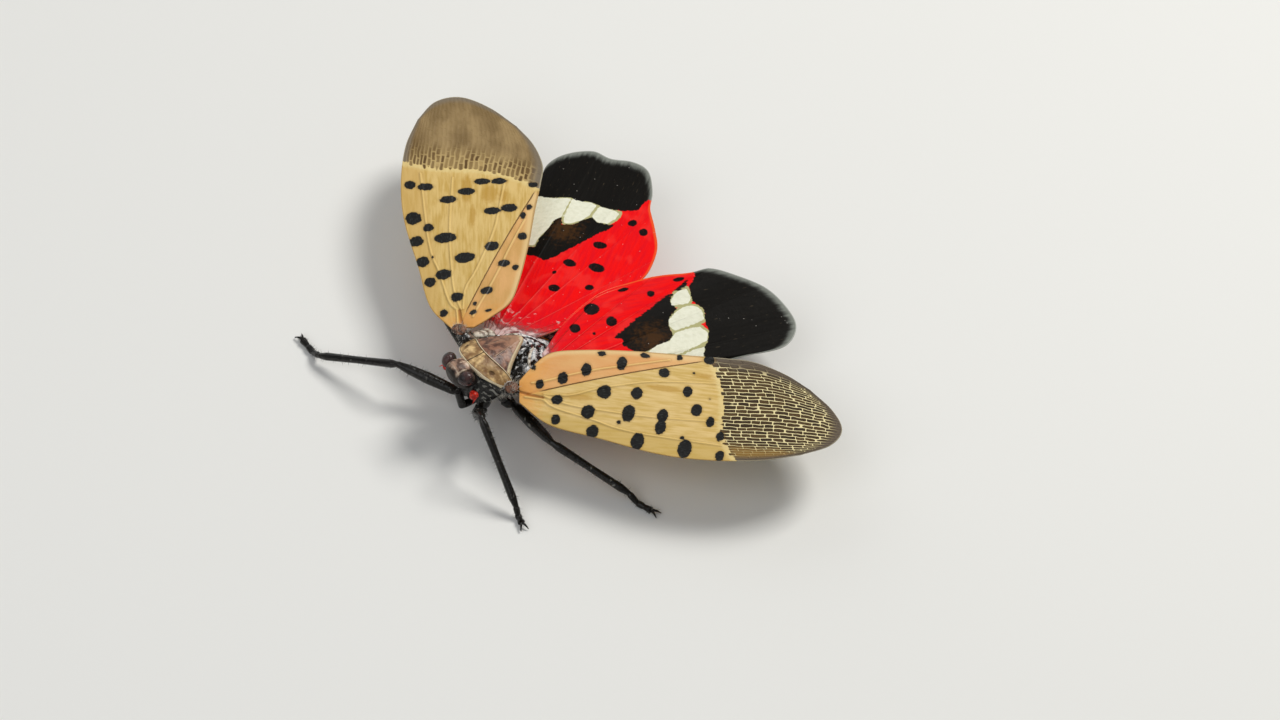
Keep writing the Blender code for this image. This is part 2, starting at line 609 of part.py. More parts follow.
def leg(name, joints):
    joints = [np.array(joint, float) for joint in joints]
    ways = [(b - a) / np.linalg.norm(b - a) for a, b in zip(joints, joints[1:])]
    for i, (part, profile) in enumerate(LEG_LENGTHS.items()):
        start, end = joints[i].copy(), joints[i + 1].copy()
        if i > 0:
            bend = math.acos(np.clip(ways[i - 1] @ ways[i], -1, 1))
            start += ways[i] * (JOINT_CLEARANCE + profile[0][1] * math.tan(bend / 2))
        if i < 3:
            bend = math.acos(np.clip(ways[i] @ ways[i + 1], -1, 1))
            end -= ways[i] * (JOINT_CLEARANCE + profile[-1][1] * math.tan(bend / 2))
        if part == "tarsus":
            foot(f"{name}_{part}", start, end)
            continue
        made = limb(f"{name}_{part}", start, end, profile, "black")
        if part == "tibia" and name.startswith("hind"):
            fuse(made, spines(start, end, 1 if name.endswith("right") else -1))


def build():
    remove(list(bpy.data.objects))
    head_and_eyes()
    antennae()
    rostrum()
    collar()
    shield()
    thorax()
    tegulae()
    abdomen()
    for side in ("left", "right"):
        forewing(side)
        hindwing(side)
    for name, joints in LEGS.items():
        leg(name, joints)


build()
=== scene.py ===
import math

import bpy
import numpy as np
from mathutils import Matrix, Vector


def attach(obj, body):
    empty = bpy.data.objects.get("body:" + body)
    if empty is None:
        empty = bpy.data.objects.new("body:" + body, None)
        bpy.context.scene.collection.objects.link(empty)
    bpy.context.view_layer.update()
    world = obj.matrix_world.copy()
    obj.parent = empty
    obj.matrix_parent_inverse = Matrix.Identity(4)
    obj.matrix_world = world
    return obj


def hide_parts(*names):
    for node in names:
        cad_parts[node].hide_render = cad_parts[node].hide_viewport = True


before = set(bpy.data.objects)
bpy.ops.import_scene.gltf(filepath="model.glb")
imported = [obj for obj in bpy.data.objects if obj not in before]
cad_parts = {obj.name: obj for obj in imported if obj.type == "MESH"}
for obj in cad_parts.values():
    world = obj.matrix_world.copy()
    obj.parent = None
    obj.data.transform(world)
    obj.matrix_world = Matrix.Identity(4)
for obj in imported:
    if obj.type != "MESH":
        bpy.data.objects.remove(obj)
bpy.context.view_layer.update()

# The stand: a pale matt floor in a soft studio, with one lamp high behind the insect and two weaker
# ones in front and beside it. The camera is 300 mm off, 48 degrees up, and 55 degrees round from the
# way the head looks. Places and sizes in this file are in millimetres.
MM = 0.001
CAMERA_AT = (169.87, -107.21, 227.53)
CAMERA_TOWARDS = (5.433, 7.928, 4.587)
CAMERA_LENS = 129.94
CAMERA_NEAREST = 10.0
LAMPS_TOWARDS = (0.0, 6.0, 3.0)
ROOM_TINT = (0.95, 0.97, 1.0, 1.0)
ROOM_STRENGTH = 0.2
FLOOR_HALF_WIDTH = 2000.0
LAMPS = {
    "key": {"at": (10.0, 240.0, 300.0), "size": 140.0, "watts": 1.0, "tint": (1.0, 0.98, 0.94)},
    "front": {"at": (60.0, -220.0, 260.0), "size": 300.0, "watts": 0.34, "tint": (0.97, 0.98, 1.0)},
    "fill": {"at": (-260.0, 20.0, 140.0), "size": 300.0, "watts": 0.16, "tint": (1.0, 1.0, 1.0)},
}


def aim(name, data, at, towards):
    """Puts a camera or lamp in the scene, turned to look from one place towards another."""
    made = bpy.data.objects.new(name, data)
    bpy.context.scene.collection.objects.link(made)
    made.location = Vector(at) * MM
    made.rotation_euler = (Vector(towards) - Vector(at)).to_track_quat("-Z", "Y").to_euler()
    return made


camera = aim("camera", bpy.data.cameras.new("camera"), CAMERA_AT, CAMERA_TOWARDS)
camera.data.lens = CAMERA_LENS
camera.data.clip_start = CAMERA_NEAREST * MM
bpy.context.scene.camera = camera
bpy.context.scene.view_settings.view_transform = "Standard"

for name, lamp in LAMPS.items():
    data = bpy.data.lights.new(name, "AREA")
    data.size = lamp["size"] * MM
    data.energy = lamp["watts"]
    data.color = lamp["tint"]
    aim(name, data, lamp["at"], LAMPS_TOWARDS)

room = bpy.data.worlds.new("room")
room.use_nodes = True
room.node_tree.nodes["Background"].inputs["Color"].default_value = ROOM_TINT
room.node_tree.nodes["Background"].inputs["Strength"].default_value = ROOM_STRENGTH
bpy.context.scene.world = room


def hue(red, green, blue):
    """A colour given as it looks on a screen, from 0 to 255, in the linear light that shaders use."""
    seen = np.array([red, green, blue]) / 255
    linear = np.where(seen > 0.04045, ((seen + 0.055) / 1.055) ** 2.4, seen / 12.92)
    return (*linear.tolist(), 1.0)


class Tone:
    """A socket among one material's nodes. Arithmetic on tones adds Math nodes to that material."""

    def __init__(self, tree, socket=None):
        self.tree = tree
        self.socket = socket

    def node(self, kind, settings=None, inputs=None, output=0):
        """Adds one node: its settings first, then its sockets, each set to a value or linked to a tone."""
        made = self.tree.nodes.new(kind)
        for key, value in (settings or {}).items():
            setattr(made, key, value)
        for key, value in (inputs or {}).items():
            if isinstance(value, Tone):
                self.tree.links.new(value.socket, made.inputs[key])
            else:
                made.inputs[key].default_value = value
        return Tone(self.tree, made.outputs[output])

    def math(self, operation, *values):
        return self.node("ShaderNodeMath", {"operation": operation}, dict(enumerate(values)))

    def __add__(self, other):
        return self.math("ADD", self, other)

    def __radd__(self, other):
        return self.math("ADD", other, self)

    def __sub__(self, other):
        return self.math("SUBTRACT", self, other)

    def __rsub__(self, other):
        return self.math("SUBTRACT", other, self)

    def __mul__(self, other):
        return self.math("MULTIPLY", self, other)

    def __rmul__(self, other):
        return self.math("MULTIPLY", other, self)

    def __truediv__(self, other):
        return self.math("DIVIDE", self, other)

    def __abs__(self):
        return self.math("ABSOLUTE", self)

    def most(self, other):
        return self.math("MAXIMUM", self, other)

    def fract(self):
        return self.math("FRACT", self)

    def floor(self):
        return self.math("FLOOR", self)

    def root(self):
        return self.math("SQRT", self)

    def wave(self):
        return self.math("SINE", self)

    def part(self, axis):
        """One number of a vector."""
        return self.node("ShaderNodeSeparateXYZ", None, {0: self}, axis)

    def stretch(self, x, y, z):
        """A vector, each of its numbers scaled."""
        return self.node("ShaderNodeVectorMath", {"operation": "MULTIPLY"}, {0: self, 1: (x, y, z)})

    def vector(self, x, y, z):
        return self.node("ShaderNodeCombineXYZ", None, {0: x, 1: y, 2: z})

    def rise(self, low, high):
        """Rises smoothly from 0 where the tone is low to 1 where it is high."""
        return self.node("ShaderNodeMapRange", {"interpolation_type": "SMOOTHSTEP"},
            {0: self, 1: low, 2: high})

    def fall(self, low, high):
        return 1 - self.rise(low, high)

    def blend(self, a, b):
        """Colour a where the tone is 0, colour b where it is 1. Each is a tone, or red, green and blue."""
        a, b = (colour if isinstance(colour, Tone) else hue(*colour) for colour in (a, b))
        return self.node("ShaderNodeMix", {"data_type": "RGBA"}, {0: self, 6: a, 7: b}, 2)

    def painted(self, *layers):
        """This colour with layers over it, each given as how much of it shows and its colour."""
        colour = self
        for amount, layer in layers:
            colour = amount.blend(colour, layer)
        return colour

    def noise(self, scale, detail=2.0):
        """Cloudy noise about 0.5 at this place, with this many lumps to a millimetre."""
        return self.node("ShaderNodeTexNoise", None, {"Vector": self, "Scale": scale, "Detail": detail})

    def cells(self, scale, feature="F1"):
        """How far this place is from the nearest of scattered points."""
        return self.node("ShaderNodeTexVoronoi", {"feature": feature}, {"Vector": self, "Scale": scale})

    def bump(self, distance):
        """A normal tilted by this height, in parts of the distance."""
        return self.node("ShaderNodeBump", None,
            {"Height": self, "Distance": distance * MM, "Strength": 1.0})


class Finish:
    """A material with one Principled shader. Constant values are set on its sockets when it is made."""

    def __init__(self, name, **constants):
        self.material = bpy.data.materials.new(name)
        self.material.use_nodes = True
        self.tree = self.material.node_tree
        self.shader = self.tree.nodes["Principled BSDF"]
        for key, value in constants.items():
            self.shader.inputs[key.replace("_", " ")].default_value = value
        self.start = Tone(self.tree)

    def field(self, name):
        """A named value that the mesh carries at its points."""
        return self.start.node("ShaderNodeAttribute", {"attribute_name": name}, None, 1)

    def place(self):
        """Where the point is, in millimetres."""
        return self.start.node("ShaderNodeTexCoord", None, None, 3).stretch(1000, 1000, 1000)

    def drive(self, socket, tone):
        self.tree.links.new(tone.socket, self.shader.inputs[socket])


floor_finish = Finish("floor", Roughness=0.9)
floor_finish.drive("Base Color", floor_finish.place().noise(0.004).blend((232, 232, 228), (240, 240, 237)))
floor_mesh = bpy.data.meshes.new("floor")
half = FLOOR_HALF_WIDTH * MM
floor_mesh.from_pydata([(-half, -half, 0), (half, -half, 0), (half, half, 0), (-half, half, 0)], [],
    [(0, 1, 2, 3)])
floor_mesh.materials.append(floor_finish.material)
floor = bpy.data.objects.new("floor", floor_mesh)
bpy.context.scene.collection.objects.link(floor)


# The forewings: leathery tan sheets, warped and lifted, on a hinge at the shoulder. The inner two
# thirds carry black spots, and past the cross vein pale veins net brown cells. On the right wing the
# net fades out after its first rows.
FOREWING_LENGTH = 21.0
FOREWING_HALF_WIDTH = 4.5
FOREWING_DROOP = 0.27
FOREWING_ARCH = 0.033
FOREWING_THICKNESS = 0.12
SMOOTH_BELOW = 50.0
FOREWING_FRONT_EDGE = [(-0.1, -0.5), (2.1, -1.95), (5.5, -2.7), (9.5, -3.6), (12.7, -3.8), (15.9, -3.5),
    (18.4, -2.7)]
FOREWING_TIP_EDGE = [(18.4, -2.7), (20.15, -1.55), (20.75, 0.1), (19.9, 1.95), (18.25, 3.65)]
FOREWING_HIND_EDGE = [
    (-0.35, 1.1), (0.25, 2.15), (1.3, 3.45), (3.2, 4.05), (6.4, 4.6), (9.6, 4.95), (12.5, 5.3), (14.4, 5.4),
    (16.5, 4.75), (18.25, 3.65),
]
FOREWING_POSES = {
    "left": {"root": (3.57, -0.05, 4.5), "sweep": 46.9, "rise": -0.3, "twist": 11.7, "warp": -2.17},
    "right": {"root": (3.70, -0.15, 4.77), "sweep": 33.6, "rise": -1.9, "twist": 13.9, "warp": -1.82},
}
SUTURE_SHARES = [(0.0, 0.4), (0.06, 0.43), (0.33, 0.73), (0.5, 0.87), (0.62, 0.93), (1.0, 0.9)]
SUTURE_COLUMN = 0.75
SUTURE_START = (1.15, 0.52)
SUTURE_SLOPE = 0.4185
NODE = {"row": 0.69, "front": 0.735, "hind": 0.645}
NODE_LINE = {"left": (12.97, 0.06, 0.095), "right": (13.9, 0.07, 0.047)}
FOREWING_VEINS = [
    [(0.2, -0.05), (1.5, -0.13), (1.9, -0.5), (2.8, -0.8), (4.9, -1.3), (6.3, -1.75), (8.1, -2.05),
        (10.4, -2.25), (13.6, -2.5)],
    [(1.4, 0.15), (3.15, -0.3), (4.9, -0.45), (8.5, -0.6), (13.2, -0.4)],
    [(1.4, 0.3), (3.1, 0.45), (4.5, 1.1), (6.3, 1.75), (8.5, 2.4), (12.8, 3.0)],
    [(0.5, 1.0), (1.3, 1.3), (2.8, 2.0), (4.75, 2.8), (6.2, 3.3), (9.0, 4.35)],
]
FOREWING_FOLD = [(-0.3, 0.3), (0.5, 0.16), (1.35, 0.05)]
FOREWING_KNOB = {"at": (0.35, 1.1), "size": (0.75, 0.6), "height": 0.08}
NET_ROWS = 31
NET_LENGTH = 0.84
FOREWING_SPOTS = {
    "left": [
        (4.6, 4.0, 0.52, 0.4), (7.4, 4.4, 0.58, 0.42), (9.6, 4.7, 0.36, 0.48), (11.5, 4.9, 0.72, 0.8),
        (6.0, 3.5, 0.65, 1.06), (3.8, 2.6, 0.65, 1.03), (2.4, 1.7, 0.65, 0.93), (1.0, 1.0, 0.52, 0.68),
        (0.4, 2.2, 0.32, 0.38), (8.8, 3.2, 0.71, 0.76), (5.2, 1.0, 0.9, 1.04), (7.3, 1.2, 0.71, 0.99),
        (10.5, 1.9, 0.58, 0.95), (2.3, 0.0, 0.71, 0.69), (4.4, -0.7, 0.84, 1.1), (7.0, -0.5, 0.84, 1.38),
        (9.2, -0.4, 0.71, 1.1), (9.2, -1.4, 0.7, 1.15), (11.3, 0.4, 0.71, 1.04), (12.3, -0.5, 0.51, 0.88),
        (2.4, -1.5, 0.58, 0.76), (4.9, -2.2, 0.77, 1.02), (7.9, -2.7, 0.83, 1.31), (11.0, -3.0, 0.89, 1.53),
        (6.5, -1.3, 0.26, 0.32), (10.7, -2.1, 0.26, 0.34), (13.1, -1.7, 0.51, 0.79),
            (13.3, -3.4, 0.57, 0.88),
        (12.0, 1.5, 0.1, 0.13), (10.7, 3.5, 0.13, 0.17),
    ],
    "right": [
        (12.6, -3.2, 0.7, 0.72), (12.4, -2.2, 0.62, 1.05), (11.2, -0.7, 0.63, 1.12),
            (11.9, 0.5, 0.65, 1.11),
        (12.8, 1.5, 0.57, 1.04), (12.8, 2.6, 0.58, 0.98), (10.0, 2.2, 0.66, 1.12), (10.2, 3.3, 0.77, 1.05),
        (9.4, 4.2, 0.68, 0.39), (10.2, 4.6, 0.49, 0.39), (7.4, 4.2, 0.67, 0.6), (12.4, 4.8, 0.5, 0.59),
        (9.7, -3.0, 1.03, 1.06), (8.8, -2.0, 0.7, 0.66), (7.8, -0.9, 0.88, 1.46), (7.7, -2.8, 0.85, 0.93),
        (6.7, 2.2, 0.83, 0.93), (5.9, 0.4, 0.89, 1.34), (5.9, -2.4, 0.85, 0.88), (6.2, -1.7, 0.17, 0.13),
        (5.0, 3.0, 0.65, 0.81), (4.5, 3.8, 0.56, 0.4), (4.6, -1.0, 0.87, 1.08), (4.1, -1.9, 0.77, 0.75),
        (2.7, 1.9, 0.63, 0.82), (2.5, -0.1, 0.78, 0.82), (1.7, 1.1, 0.35, 0.27), (0.9, 1.0, 0.44, 0.48),
        (0.9, 2.0, 0.27, 0.41), (1.3, -1.0, 0.6, 0.55),
    ],
}
FOREWING_STAINS = {
    "left": [(11.4, 3.4, 1.2, 0.5), (9.0, 1.9, 2.4, 0.5), (3.6, 0.4, 2.0, 0.5)],
    "right": [(12.1, 0.5, 2.6, 0.7), (11.6, 2.0, 1.6, 1.1), (11.4, 2.9, 1.2, 0.7), (9.6, 0.9, 2.0, 0.4)],
}
FOREWING_TINTS = {
    "left": {"light": (226, 195, 130), "deep": (206, 172, 94), "clavus": (228, 161, 100),
        "front": (198, 166, 88)},
    "right": {"light": (224, 192, 122), "deep": (203, 167, 88), "clavus": (212, 162, 96),
        "front": (208, 170, 98)},
}


def curve_through(points, shares):
    """Points at these shares of the length of a smooth curve through the given ones. On each span it is the
    cubic whose slope at either end is half the step between that end's neighbours."""
    points = np.asarray(points, float)
    padded = np.vstack([2 * points[0] - points[1], points, 2 * points[-1] - points[-2]])
    before, start, end, after = padded[:-3], padded[1:-2], padded[2:-1], padded[3:]
    t = np.linspace(0, 1, 12, endpoint=False)[:, None, None]
    spans = 0.5 * (2 * start + (end - before) * t + (2 * before - 5 * start + 4 * end - after) * t**2
                   + (3 * start - before - 3 * end + after) * t**3)
    dense = np.vstack([spans.transpose(1, 0, 2).reshape(-1, points.shape[1]), points[-1:]])
    length = np.r_[0, np.cumsum(np.linalg.norm(np.diff(dense, axis=0), axis=1))]
    at = np.asarray(shares) * length[-1]
    return np.stack([np.interp(at, length, column) for column in dense.T], axis=-1)


def turn(points, axis, degrees):
    """The points turned about an axis through the origin, by the right-hand rule."""
    cos, sin = math.cos(math.radians(degrees)), math.sin(math.radians(degrees))
    a, b = [(1, 2), (2, 0), (0, 1)][axis]
    turned = np.array(points, float)
    turned[..., a] = cos * points[..., a] - sin * points[..., b]
    turned[..., b] = sin * points[..., a] + cos * points[..., b]
    return turned


def outward(points, faces):
    """The faces, all turned over where the volume that they close comes out below 0."""
    corners = np.vstack([face[:, [0, i, i + 1]] for face in faces for i in range(1, face.shape[1] - 1)])
    inside_out = np.linalg.det((points - points.mean(axis=0))[corners]).sum() < 0
    return [face[:, ::-1] for face in faces] if inside_out else faces


def surface(name, points, faces, finish, fields=None):
    """A mesh piece of these points and faces, turned to face outwards, riding on the body. Its fields are
    three numbers at each point, which the finish reads."""
    points = np.asarray(points, float)
    faces = outward(points, faces)
    mesh = bpy.data.meshes.new(name)
    mesh.from_pydata((points * MM).tolist(), [], [row for face in faces for row in face.tolist()])
    mesh.shade_smooth()
    mesh.set_sharp_from_angle(angle=math.radians(SMOOTH_BELOW))
    mesh.materials.append(finish.material)
    for key, values in (fields or {}).items():
        mesh.attributes.new(key, "FLOAT_VECTOR", "POINT").data.foreach_set("vector",
            np.asarray(values, float).ravel())
    made = bpy.data.objects.new(name, mesh)
    bpy.context.scene.collection.objects.link(made)
    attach(made, "root")
    return made


def quads_of(rows, columns, closed=False):
    """The faces of a grid of points, row by row, its last column joined to its first where it is closed."""
    row = np.arange(rows - 1)[:, None]
    column = np.arange(columns if closed else columns - 1)[None, :]
    after = (column + 1) % columns
    return np.stack([row * columns + column, row * columns + after, (row + 1) * columns + after,
                     (row + 1) * columns + column], axis=-1).reshape(-1, 4)


def sheet(name, top, bottom, finish, fields):
    """A closed sheet: an upper and a lower grid of points, with a rim between their edges."""
    rows, columns = top.shape[:2]
    size = rows * columns
    index = np.arange(size).reshape(rows, columns)
    rim = np.r_[index[0, :], index[1:, -1], index[-1, -2::-1], index[-2:0:-1, 0]]
    after = np.roll(rim, -1)
    upper = quads_of(rows, columns)
    faces = np.vstack([upper, upper[:, ::-1] + size,
        np.stack([after, rim, rim + size, after + size], axis=-1)])
    both = {key: np.concatenate([values.reshape(-1, 3)] * 2) for key, values in fields.items()}
    return surface(name, np.concatenate([top.reshape(-1, 3), bottom.reshape(-1, 3)]), [faces], finish, both)


def patch(front, hind, root, tip, s, t):
    """A flat grid that fills the room between four edges: the mean of its two edges' blend each way, less the
    blend of its corners."""
    s, t = s[:, None, None], t[..., None]
    corners = ((1 - s) * (1 - t) * front[0] + (1 - s) * t * hind[0]
               + s * (1 - t) * front[-1] + s * t * hind[-1])
    return (1 - t) * front[:, None] + t * hind[:, None] + (1 - s) * root + s * tip - corners


def spot_distance(flat, spots):
    """How far each point is outside the nearest spot, in millimetres, and below 0 inside it: the distance in
    the oval's own scale, less one, times its mean half width."""
    nearest = np.full(flat.shape[:2], 9.0)
    for u, v, length, width in spots:
        scaled = np.hypot((flat[..., 0] - u) / (length / 2), (flat[..., 1] - v) / (width / 2))
        nearest = np.minimum(nearest, (scaled - 1) * (length + width) / 4)
    return nearest


def forewing_point(flat, lift, side):
    """Where a point of the forewing lies: a warped sheet, twisted, lowered and swept back at its root."""
    pose = FOREWING_POSES[side]
    along, across = flat[..., 0] / FOREWING_LENGTH, flat[..., 1] / FOREWING_HALF_WIDTH
    height = -FOREWING_DROOP * along**2 + pose["warp"] * along * across - FOREWING_ARCH * across**2 + lift
    points = turn(np.dstack([flat, height]), 0, pose["twist"])
    points = turn(turn(points, 1, pose["rise"]), 2, pose["sweep"]) + pose["root"]
    return points * (1 if side == "left" else -1, 1, 1)


def line_distance(flat, points):
    """How far each point is from a line of straight steps: the least of its distances to the steps."""
    nearest = np.full(flat.shape[:2], np.inf)
    for a, b in zip(np.asarray(points[:-1], float), np.asarray(points[1:], float)):
        along = np.clip(((flat - a) @ (b - a)) / ((b - a) @ (b - a)), 0, 1)
        nearest = np.minimum(nearest, np.linalg.norm(flat - a - along[..., None] * (b - a), axis=-1))
    return nearest


def forewing_finish(side):
    """Tan leather with fine streaks, black spots, a dark seam, and past the cross vein a net whose rows
    of cells follow the wing. A cell ends where its distance to the row's or its own end, rounded, is small."""
    finish = Finish(f"forewing_{side}", Specular_IOR_Level=0.25)
    tints = FOREWING_TINTS[side]
    place, marks, net, veins = (finish.field(name) for name in ("place", "marks", "net", "veins"))
    u, v, edge = (place.part(i) for i in range(3))
    spot, node, suture = (marks.part(i) for i in range(3))
    row, along, pitch = (net.part(i) for i in range(3))
    vein, fold, stain = (veins.part(i) for i in range(3))
    fuzz = place.noise(3.5, 3.0) - 0.5
    streak = place.stretch(0.5, 4.0, 0.0).noise(1.2, 3.0)
    cloud = place.stretch(0.7, 1.4, 0.0).noise(0.55, 3.0)
    leather = (streak * 0.6 + cloud * 0.4).rise(0.36, 0.6).blend(tints["deep"], tints["light"])
    leather = ((stain + fuzz * 0.5).fall(-0.25, 0.2) * 0.65).blend(leather, (186, 142, 52))
    front = (v + fuzz * 0.3 + u * 0.115).fall(-1.15, -0.65) * node.fall(-0.5, 0.5)
    leather = (front * 0.6).blend(leather, tints["front"])
    inner = (suture + fuzz * 0.06).rise(-0.03, 0.03) * node.fall(-1.0, -0.2)
    leather = leather.painted(
        (inner * 0.85, cloud.rise(0.35, 0.65).blend(tints["clavus"], (230, 174, 112))),
        (inner * edge.fall(0.15, 0.5) * 0.7, (236, 206, 148)),
        ((u + fuzz * 2.0).fall(-0.2, 2.1) * 0.85, cloud.blend((232, 152, 62), (226, 172, 96))),
        (vein.fall(0.03, 0.1) * node.fall(-0.5, 0.0) * 0.6, (240, 206, 130)),
        (abs(vein - 0.13).fall(0.0, 0.08) * 0.16, (150, 104, 44)),
    )
    seam = abs(suture + fuzz * 0.05).fall(0.015, 0.06) * node.fall(-1.0, -0.2) * u.rise(0.9, 1.5)
    leather = leather.painted(
        (seam * 0.85, (104, 66, 30)),
        (fold.fall(0.03, 0.12) * 0.7, (150, 84, 34)),
        (edge.fall(0.03, 0.1) * 0.55, (150, 112, 56)),
    )
    row = row + (place.noise(1.3, 1.0) - 0.5) * 0.7
    own = net.node("ShaderNodeTexWhiteNoise", {"noise_dimensions": "1D"}, {"W": row.floor()})
    wander = place.vector(along * 0.8, row.floor() * 3.7, 0.0).noise(1.0, 1.0)
    brick = along / NET_LENGTH + own * 5.0 + (wander - 0.5) * 1.7
    to_row = (0.5 - abs(row.fract() - 0.5)) * pitch
    to_end = (0.5 - abs(brick.fract() - 0.5)) * NET_LENGTH
    corner = [(0.1 - distance).most(0.0) for distance in (to_row, to_end)]
    depth = 0.1 - (corner[0] * corner[0] + corner[1] * corner[1]).root()
    shade = net.node("ShaderNodeTexWhiteNoise", {"noise_dimensions": "2D"},
        {"Vector": place.vector(row.floor(), brick.floor(), 0.0)})
    if side == "left":
        rim = (edge + fuzz * 0.25).fall(0.25, 1.15) * node.rise(0.6, 1.6)
        cell = (shade * 0.7).blend((50, 34, 14), (94, 70, 34))
        cord = rim.blend((236, 222, 168), (132, 116, 88))
        cell = rim.blend(cell, (86, 74, 58))
        webbing = depth.fall(0.016, 0.036).blend(cell, cord)
        gold = (v + fuzz * 0.9).fall(-2.9, -2.1) * node.fall(3.6, 5.2) * node.rise(-0.2, 0.6)
        webbing = (gold * 0.75).blend(webbing, (158, 122, 58))
        hem = (98, 86, 72)
    else:
        fresh = (node + (cloud - 0.5) * 2.6).fall(1.1, 2.4)
        skin = cloud.rise(0.35, 0.65).blend((168, 138, 84), (186, 158, 102))
        skin = node.rise(0.3, 2.6).blend(skin, cloud.rise(0.35, 0.65).blend((128, 104, 64), (160, 134, 90)))
        webbing = (depth.rise(0.045, 0.08) * fresh * (0.3 + shade * 0.7)).blend(skin, (92, 66, 30))
        webbing = webbing.painted(
            (depth.fall(0.01, 0.035) * fresh * 0.35, (214, 190, 132)),
            (v.fall(-2.6, -1.6) * node.rise(0.2, 1.4) * node.fall(3.0, 5.0) * 0.5, (112, 86, 44)),
        )
        hem = (124, 112, 94)
    # Along the margin a darker hem, and on the very edge a thin pale line that is a painted highlight.
    webbing = webbing.painted(
        ((edge + fuzz * 0.2).fall(0.1, 0.75), hem),
        (edge.fall(0.02, 0.07) * 0.5, (206, 196, 164)),
    )
    beyond = (node + (to_end - 0.25) * 0.7 + (to_row - 0.1) * 0.8).rise(-0.04, 0.04)
    border = (node + fuzz * 0.5).rise(-0.4, -0.05) * (1 - beyond)
    leather = (border * 0.5).blend(leather, (236, 216, 154))
    skin = beyond.blend(leather, webbing)
    skin = (spot.fall(0.02, 0.2) * 0.3).blend(skin, (150, 116, 56))
    ink = (spot + fuzz * 0.26).fall(-0.02, 0.05)
    # The lighter streaks inside the black spots are painted glints.
    painted_glint = place.stretch(1.0, 3.0, 0.0).noise(4.0, 3.0)
    skin = ink.blend(skin, painted_glint.rise(0.5, 0.8).blend((16, 15, 13), (58, 64, 62)))
    finish.drive("Base Color", skin)
    finish.drive("Roughness", 0.52 - ink * 0.12 - fold.fall(0.0, 0.8) * 0.15)
    grain = place.noise(5.0, 3.0) * 0.25 + streak * 0.4 + vein.fall(0.02,
        0.12) * 0.5 - seam - fold.fall(0.02, 0.15)
    netted = depth.fall(0.02, 0.1) * (1.0 if side == "left" else 0.4)
    finish.drive("Normal", (grain * (1 - beyond) + netted * beyond).bump(0.05))
    return finish


def forewing(side, rows=236, columns=168):
    """The forewing's skin on the same grid of edges as its solid, with its veins raised a little."""
    p = np.linspace(0, 1, rows)
    share = {}
    for edge in ("front", "hind"):
        inner, outer = p * NODE[edge] / NODE["row"], 1 - (1 - p) * (1 - NODE[edge]) / (1 - NODE["row"])
        share[edge] = np.where(p < NODE["row"], inner, outer)
    middle = (share["front"] + share["hind"]) / 2
    front = curve_through(FOREWING_FRONT_EDGE, share["front"])
    hind = curve_through(FOREWING_HIND_EDGE, share["hind"])
    places = np.linspace(0, 1, columns)
    suture = np.interp(middle, *np.transpose(SUTURE_SHARES))[:, None]
    ahead, behind = places * suture / SUTURE_COLUMN, 1 - (1 - places) * (1 - suture) / (1 - SUTURE_COLUMN)
    t = np.where(places < SUTURE_COLUMN, ahead, behind)
    root = front[0] * (1 - t[0][:, None]) + hind[0] * t[0][:, None]
    flat = patch(front, hind, root, curve_through(FOREWING_TIP_EDGE, t[-1]), middle, t)
    u, v = flat[..., 0], flat[..., 1]
    width = np.linalg.norm(hind - front, axis=1)[:, None]
    edge = np.minimum(np.minimum(t, 1 - t) * width, (1 - middle[:, None]) * (FOREWING_LENGTH + 0 * t))
    at, curve, slope = NODE_LINE[side]
    node = u - (at - curve * np.maximum(v, 0) ** 2 + slope * np.minimum(v, 0) ** 2)
    seam = v - SUTURE_START[1] - SUTURE_SLOPE * (u - SUTURE_START[0])
    vein = np.min([line_distance(flat, curve_through(line,
        np.linspace(0, 1, 24))) for line in FOREWING_VEINS], axis=0)
    fold = line_distance(flat, FOREWING_FOLD)
    fields = {
        "place": np.dstack([flat, edge]),
        "marks": np.dstack([spot_distance(flat, FOREWING_SPOTS[side]), node, seam]),
        "net": np.dstack([t * NET_ROWS, np.maximum(node, -1.0), width / NET_ROWS + 0 * t]),
        "veins": np.dstack([vein, fold, spot_distance(flat, FOREWING_STAINS[side])]),
    }
    knob = np.hypot(*[(flat[..., i] - FOREWING_KNOB["at"][i]) / FOREWING_KNOB["size"][i] for i in (0, 1)])
    raised = 0.05 * np.exp(-((vein / 0.09) ** 2)) * (node < -0.2)
    lift = raised - 0.04 * np.exp(-((seam / 0.08) ** 2)) * (node < -1)
    lift = lift + FOREWING_KNOB["height"] * np.exp(-(knob**2)) - 0.06 * np.exp(-((fold / 0.12) ** 2))
    top = forewing_point(flat, lift * np.clip(edge / 0.2, 0, 1), side)
    bottom = forewing_point(flat, -FOREWING_THICKNESS + 0.05 * np.exp(-edge / 0.1), side)
    made = sheet(f"forewing_{side}_skin", top, bottom, forewing_finish(side), fields)
    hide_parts(f"forewing_{side}")


for side in ("left", "right"):
    forewing(side)


